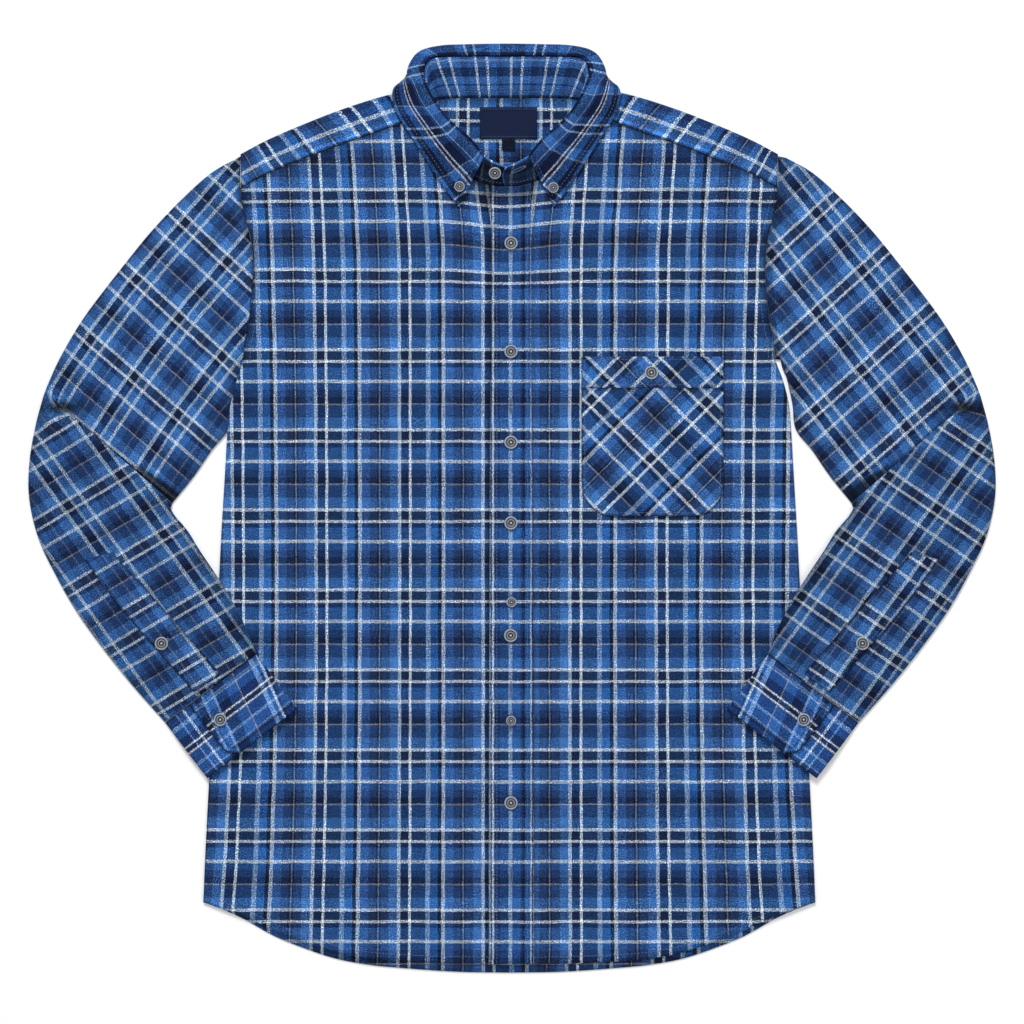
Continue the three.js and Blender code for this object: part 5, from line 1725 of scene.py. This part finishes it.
class Sewing:
    """Stitches are made a few at a time and gathered: an operator slows down as its mesh grows."""

    def __init__(self):
        self.bm = bmesh.new()
        self.few = bmesh.new()
        self.count = 0

    def gather(self):
        data = bpy.data.meshes.new("few stitches")
        self.few.to_mesh(data)
        self.few.free()
        self.bm.from_mesh(data)
        bpy.data.meshes.remove(data)
        self.few = bmesh.new()

    def stitch(self, spot, normal, toward, length, width, height=0.5, material_index=0):
        made = bmesh.ops.create_uvsphere(self.few, u_segments=6, v_segments=4, radius=0.5)
        side = normal.cross(toward).normalized()
        ahead = side.cross(normal).normalized()
        turn = Matrix((ahead * length, side * width, normal * height)).transposed().to_4x4()
        bmesh.ops.transform(self.few, matrix=Matrix.Translation(spot) @ turn, verts=made["verts"])
        smooth_faces(made["verts"], material_index)
        self.count += 1
        if self.count % AT_A_TIME == 0:
            self.gather()

    def row(self, piece, points, pitch=3.3, length=2.4, width=0.55):
        """Stitches at an even pitch along a line of points, wherever the cloth faces up."""
        left = pitch * 0.5
        for a, b in zip(points, points[1:]):
            a, b = Vector(a[:2]), Vector(b[:2])
            gap = (b - a).length
            while left < gap:
                p = a.lerp(b, left / gap)
                spot, normal = surface_at(piece, p.x, p.y)
                if spot is not None and normal.z > 0.5:
                    ahead = (b - a).to_3d().normalized()
                    self.stitch(spot + normal * 0.08, normal, ahead, length, width)
                left += pitch
            left -= gap

    def buttonhole(self, piece, x, y, angle, length=15.0, width=2.2):
        """Short stitches round an oval, and one long dark one that paints the shade in the slit."""
        ahead = Vector((math.cos(math.radians(angle)), math.sin(math.radians(angle)), 0))
        across = Vector((-ahead.y, ahead.x, 0))
        steps = 46
        for k in range(steps):
            turn = 2 * math.pi * k / steps
            p = Vector((x, y, 0)) + ahead * (math.cos(turn) * length / 2)
            p += across * (math.sin(turn) * width / 2)
            spot, normal = surface_at(piece, p.x, p.y)
            if spot is not None and normal.z > 0.5:
                out = (ahead * math.cos(turn) * 0.35 + across * math.sin(turn)).normalized()
                self.stitch(spot + normal * 0.12, normal, out, 1.5, 0.6, 0.6)
        spot, normal = surface_at(piece, x, y)
        if spot is not None:
            self.stitch(spot + normal * 0.02, normal, ahead, length - 1.5, 0.9, 0.3, 1)


sewing = Sewing()


def line_of(function, start, end, steps=80):
    return [function(mix(start, end, k / steps)) for k in range(steps + 1)]


# Placket and hems
for x in (PLACKET_LEFT + 5.4, PLACKET_RIGHT - 3.2):
    sewing.row(placket, line_of(lambda y: (x, y), 292, -416))
for piece, spot, start, end in (
        (front_right, right_front_spot, 0.004, 0.93), (front_left, left_front_spot, 0.125, 0.996)):
    sewing.row(piece, line_of(lambda u: (spot(u, 0.0)[0], spot(u, 0.0)[1] + 6.4), start, end, 120))
# Body side of both armholes, 6 mm in
for piece, sign in ((front_right, -1), (front_left, 1)):
    sewing.row(piece, line_of(lambda y: (BODY_X + sign * (half_width(y) - 6), y), 288, 136))
# Yoke: its front seams
for start in (0.0, 1.0):
    sewing.row(yoke, line_of(lambda u: yoke_surface(u, abs(start - 0.55 / YOKE_COUNT)), 0.06, 0.99))
# Collar leaf: long edge and both ends; band: seam line and top line
for start, end in ((0.02, 0.4), (0.6, 0.98)):
    u = 1 - STITCH_LINE / LEAF_DEPTH
    sewing.row(collar_leaf, line_of(lambda v: leaf_surface(u, v), start, end))
for v in (STITCH_LINE / LEAF_LENGTH, 1 - STITCH_LINE / LEAF_LENGTH):
    sewing.row(collar_leaf, line_of(lambda u: leaf_surface(u, v), 0.2, 0.88))
for u, start, end in ((BAND_SEAM_LINE, 0.01, 0.99), (BAND_TOP_LINE, 0.3, 0.7)):
    sewing.row(collar_band, line_of(lambda v: band_surface(u, v), start, end, 160))
# Pocket and its band
left, right = POCKET_LEFT + POCKET_STITCHES, POCKET_RIGHT - POCKET_STITCHES
pocket_path = [(left, y) for y in range(108, 22, -4)]
for middle, first_angle in ((POCKET_LEFT + CORNER, math.pi), (POCKET_RIGHT - CORNER, 1.5 * math.pi)):
    reach = CORNER - POCKET_STITCHES
    for k in range(13):
        angle = first_angle + math.pi / 2 * k / 12
        pocket_path.append(
            (middle + reach * math.cos(angle), POCKET_BOTTOM + CORNER + reach * math.sin(angle)))
pocket_path += [(right, y) for y in range(26, 110, 4)]
sewing.row(pocket, pocket_path)
for y in (POCKET_TOP - 2.5, POCKET_BAND + 3):
    sewing.row(pocket_band, [(left, y), (right, y)])
for x in (left, right):
    sewing.row(pocket_band, [(x, POCKET_BAND + 3), (x, POCKET_TOP - 3)])
# Cuffs, their flaps and the strips above them, with the buttonholes of both
for sign, side_name in SIDES:
    tube, flap = named(f"cuff_{side_name}_cloth"), named(f"cuff_flap_{side_name}")
    strip = named(f"sleeve_placket_{side_name}_cloth")
    for line, start in zip(CUFF_STITCHES, (0.33, 0.38)):
        def round_cuff(share):
            return cuff_spot(sign, line / CUFF_DEPTH, share)
        sewing.row(tube, line_of(round_cuff, 0.03, CUFF_FLAP - 0.02, 20))
        sewing.row(flap, line_of(round_cuff, start, 0.97, 50))
    sewing.row(flap, line_of(lambda down: cuff_spot(sign, down, CUFF_FLAP + 0.055), 0.1, 0.78, 30))
    for across in (0.13, 0.87):
        sewing.row(strip, line_of(lambda row: strip_spot(sign, row, across), 14.95, 18.8, 50))
    sewing.buttonhole(flap, sign * 267.1, -193.4, 90 + sign * 37)
    sewing.buttonhole(strip, sign * 321.4, -123.7, 90 + sign * 53)
# Buttonholes down the placket: those under buttons and those left open between them
for y in [row[2] for row in BUTTONS if row[4] is placket] + [94.3, -167.0, -336.0]:
    sewing.buttonhole(placket, -0.9, y, 90, 19.0 if y == 243.3 else 14.5, 2.8)
sewing.buttonhole(collar_band, 6.0, 310.0, 25, 14)
sewing.buttonhole(pocket_band, 127.9, 124.7, 90)
# Label
for y in (366.8, 341.2):
    sewing.row(label, [(-28, y), (21.5, y)], 2.4, 1.7, 0.4)

THREAD = mottled("sewing thread", (0.05, 0.09, 0.20), (0.16, 0.24, 0.42), 0.85, 1800.0)
# Painted shade for the opening of each buttonhole's slit.
SLIT_SHADE = mottled("buttonhole slit shade", (0.004, 0.006, 0.014), (0.01, 0.014, 0.03), 0.9)
sewing.gather()
print("stitches:", sewing.count, "faces:", len(sewing.bm.faces))
finished("topstitching", sewing.bm, [THREAD, SLIT_SHADE])

# %% [markdown]
# ## The cut of every piece
# Each piece of cloth is listed with the rectangle its cut needs, in millimetres, and the flat area
# inside it, which is printed beside the area of its mesh. A sleeve and a cuff are cut all round, so
# they count as the whole tube.

# %% Sheets
# Piece, width and length in mm, flat area in m2 where it isn't a rectangle, and what it lies on
BODY_CUTS = [
    ("front_right_cloth", 300, 784, 0.203, ["back_cloth"]),
    ("front_left_cloth", 300, 784, 0.201, ["front_right_cloth"]),
    ("back_cloth", 566, 697, 0.37, ["floor"]),
    ("front_placket_cloth", 37, 716, None, ["front_left_cloth"]),
    ("yoke_cloth", 500, 200, 0.057, ["front_right_cloth", "front_left_cloth"]),
    ("collar_band_cloth", round(BAND_LENGTH), 38, None, ["yoke_cloth"]),
    ("collar_leaf_cloth", round(LEAF_LENGTH), 52, None, ["collar_band_cloth"]),
    ("sleeve_right_cloth", 400, 560, 0.136, ["floor"]),
    ("sleeve_left_cloth", 400, 560, 0.137, ["floor"]),
]
PAIRED_CUTS = [
    ("cuff_{}_cloth", 215, 64, "front_{}_cloth"), ("cuff_flap_{}", 77, 62, "cuff_{}_cloth"),
    ("sleeve_placket_{}_cloth", 26, 130, "sleeve_{}_cloth"),
]
SMALL_CUTS = [
    ("pocket_cloth", 131, 118, None, ["front_left_cloth"]),
    ("pocket_band_cloth", 131, 29, None, ["pocket_cloth"]),
    ("label_satin", 53, 29, None, ["yoke_cloth"]), ("size_tab_satin", 12, 10, None, ["yoke_cloth"]),
]
paired = [
    (name.format(side_name), width, length, None, [below.format(side_name)])
    for name, width, length, below in PAIRED_CUTS for _, side_name in SIDES]
for name, width, length, area, below in BODY_CUTS + paired + SMALL_CUTS:
    piece = named(name)
    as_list(below)
    measured = sum(face.area for face in piece.data.polygons)
    stated = area or width * length * 1e-6
    print(f"{name}: {width} x {length} mm, cut {stated:.4f} m2, on the model {measured:.4f} m2")

# %% [markdown]
# ## Finish
# The view layer is brought up to date.

# %% Update the view layer
bpy.context.view_layer.update()
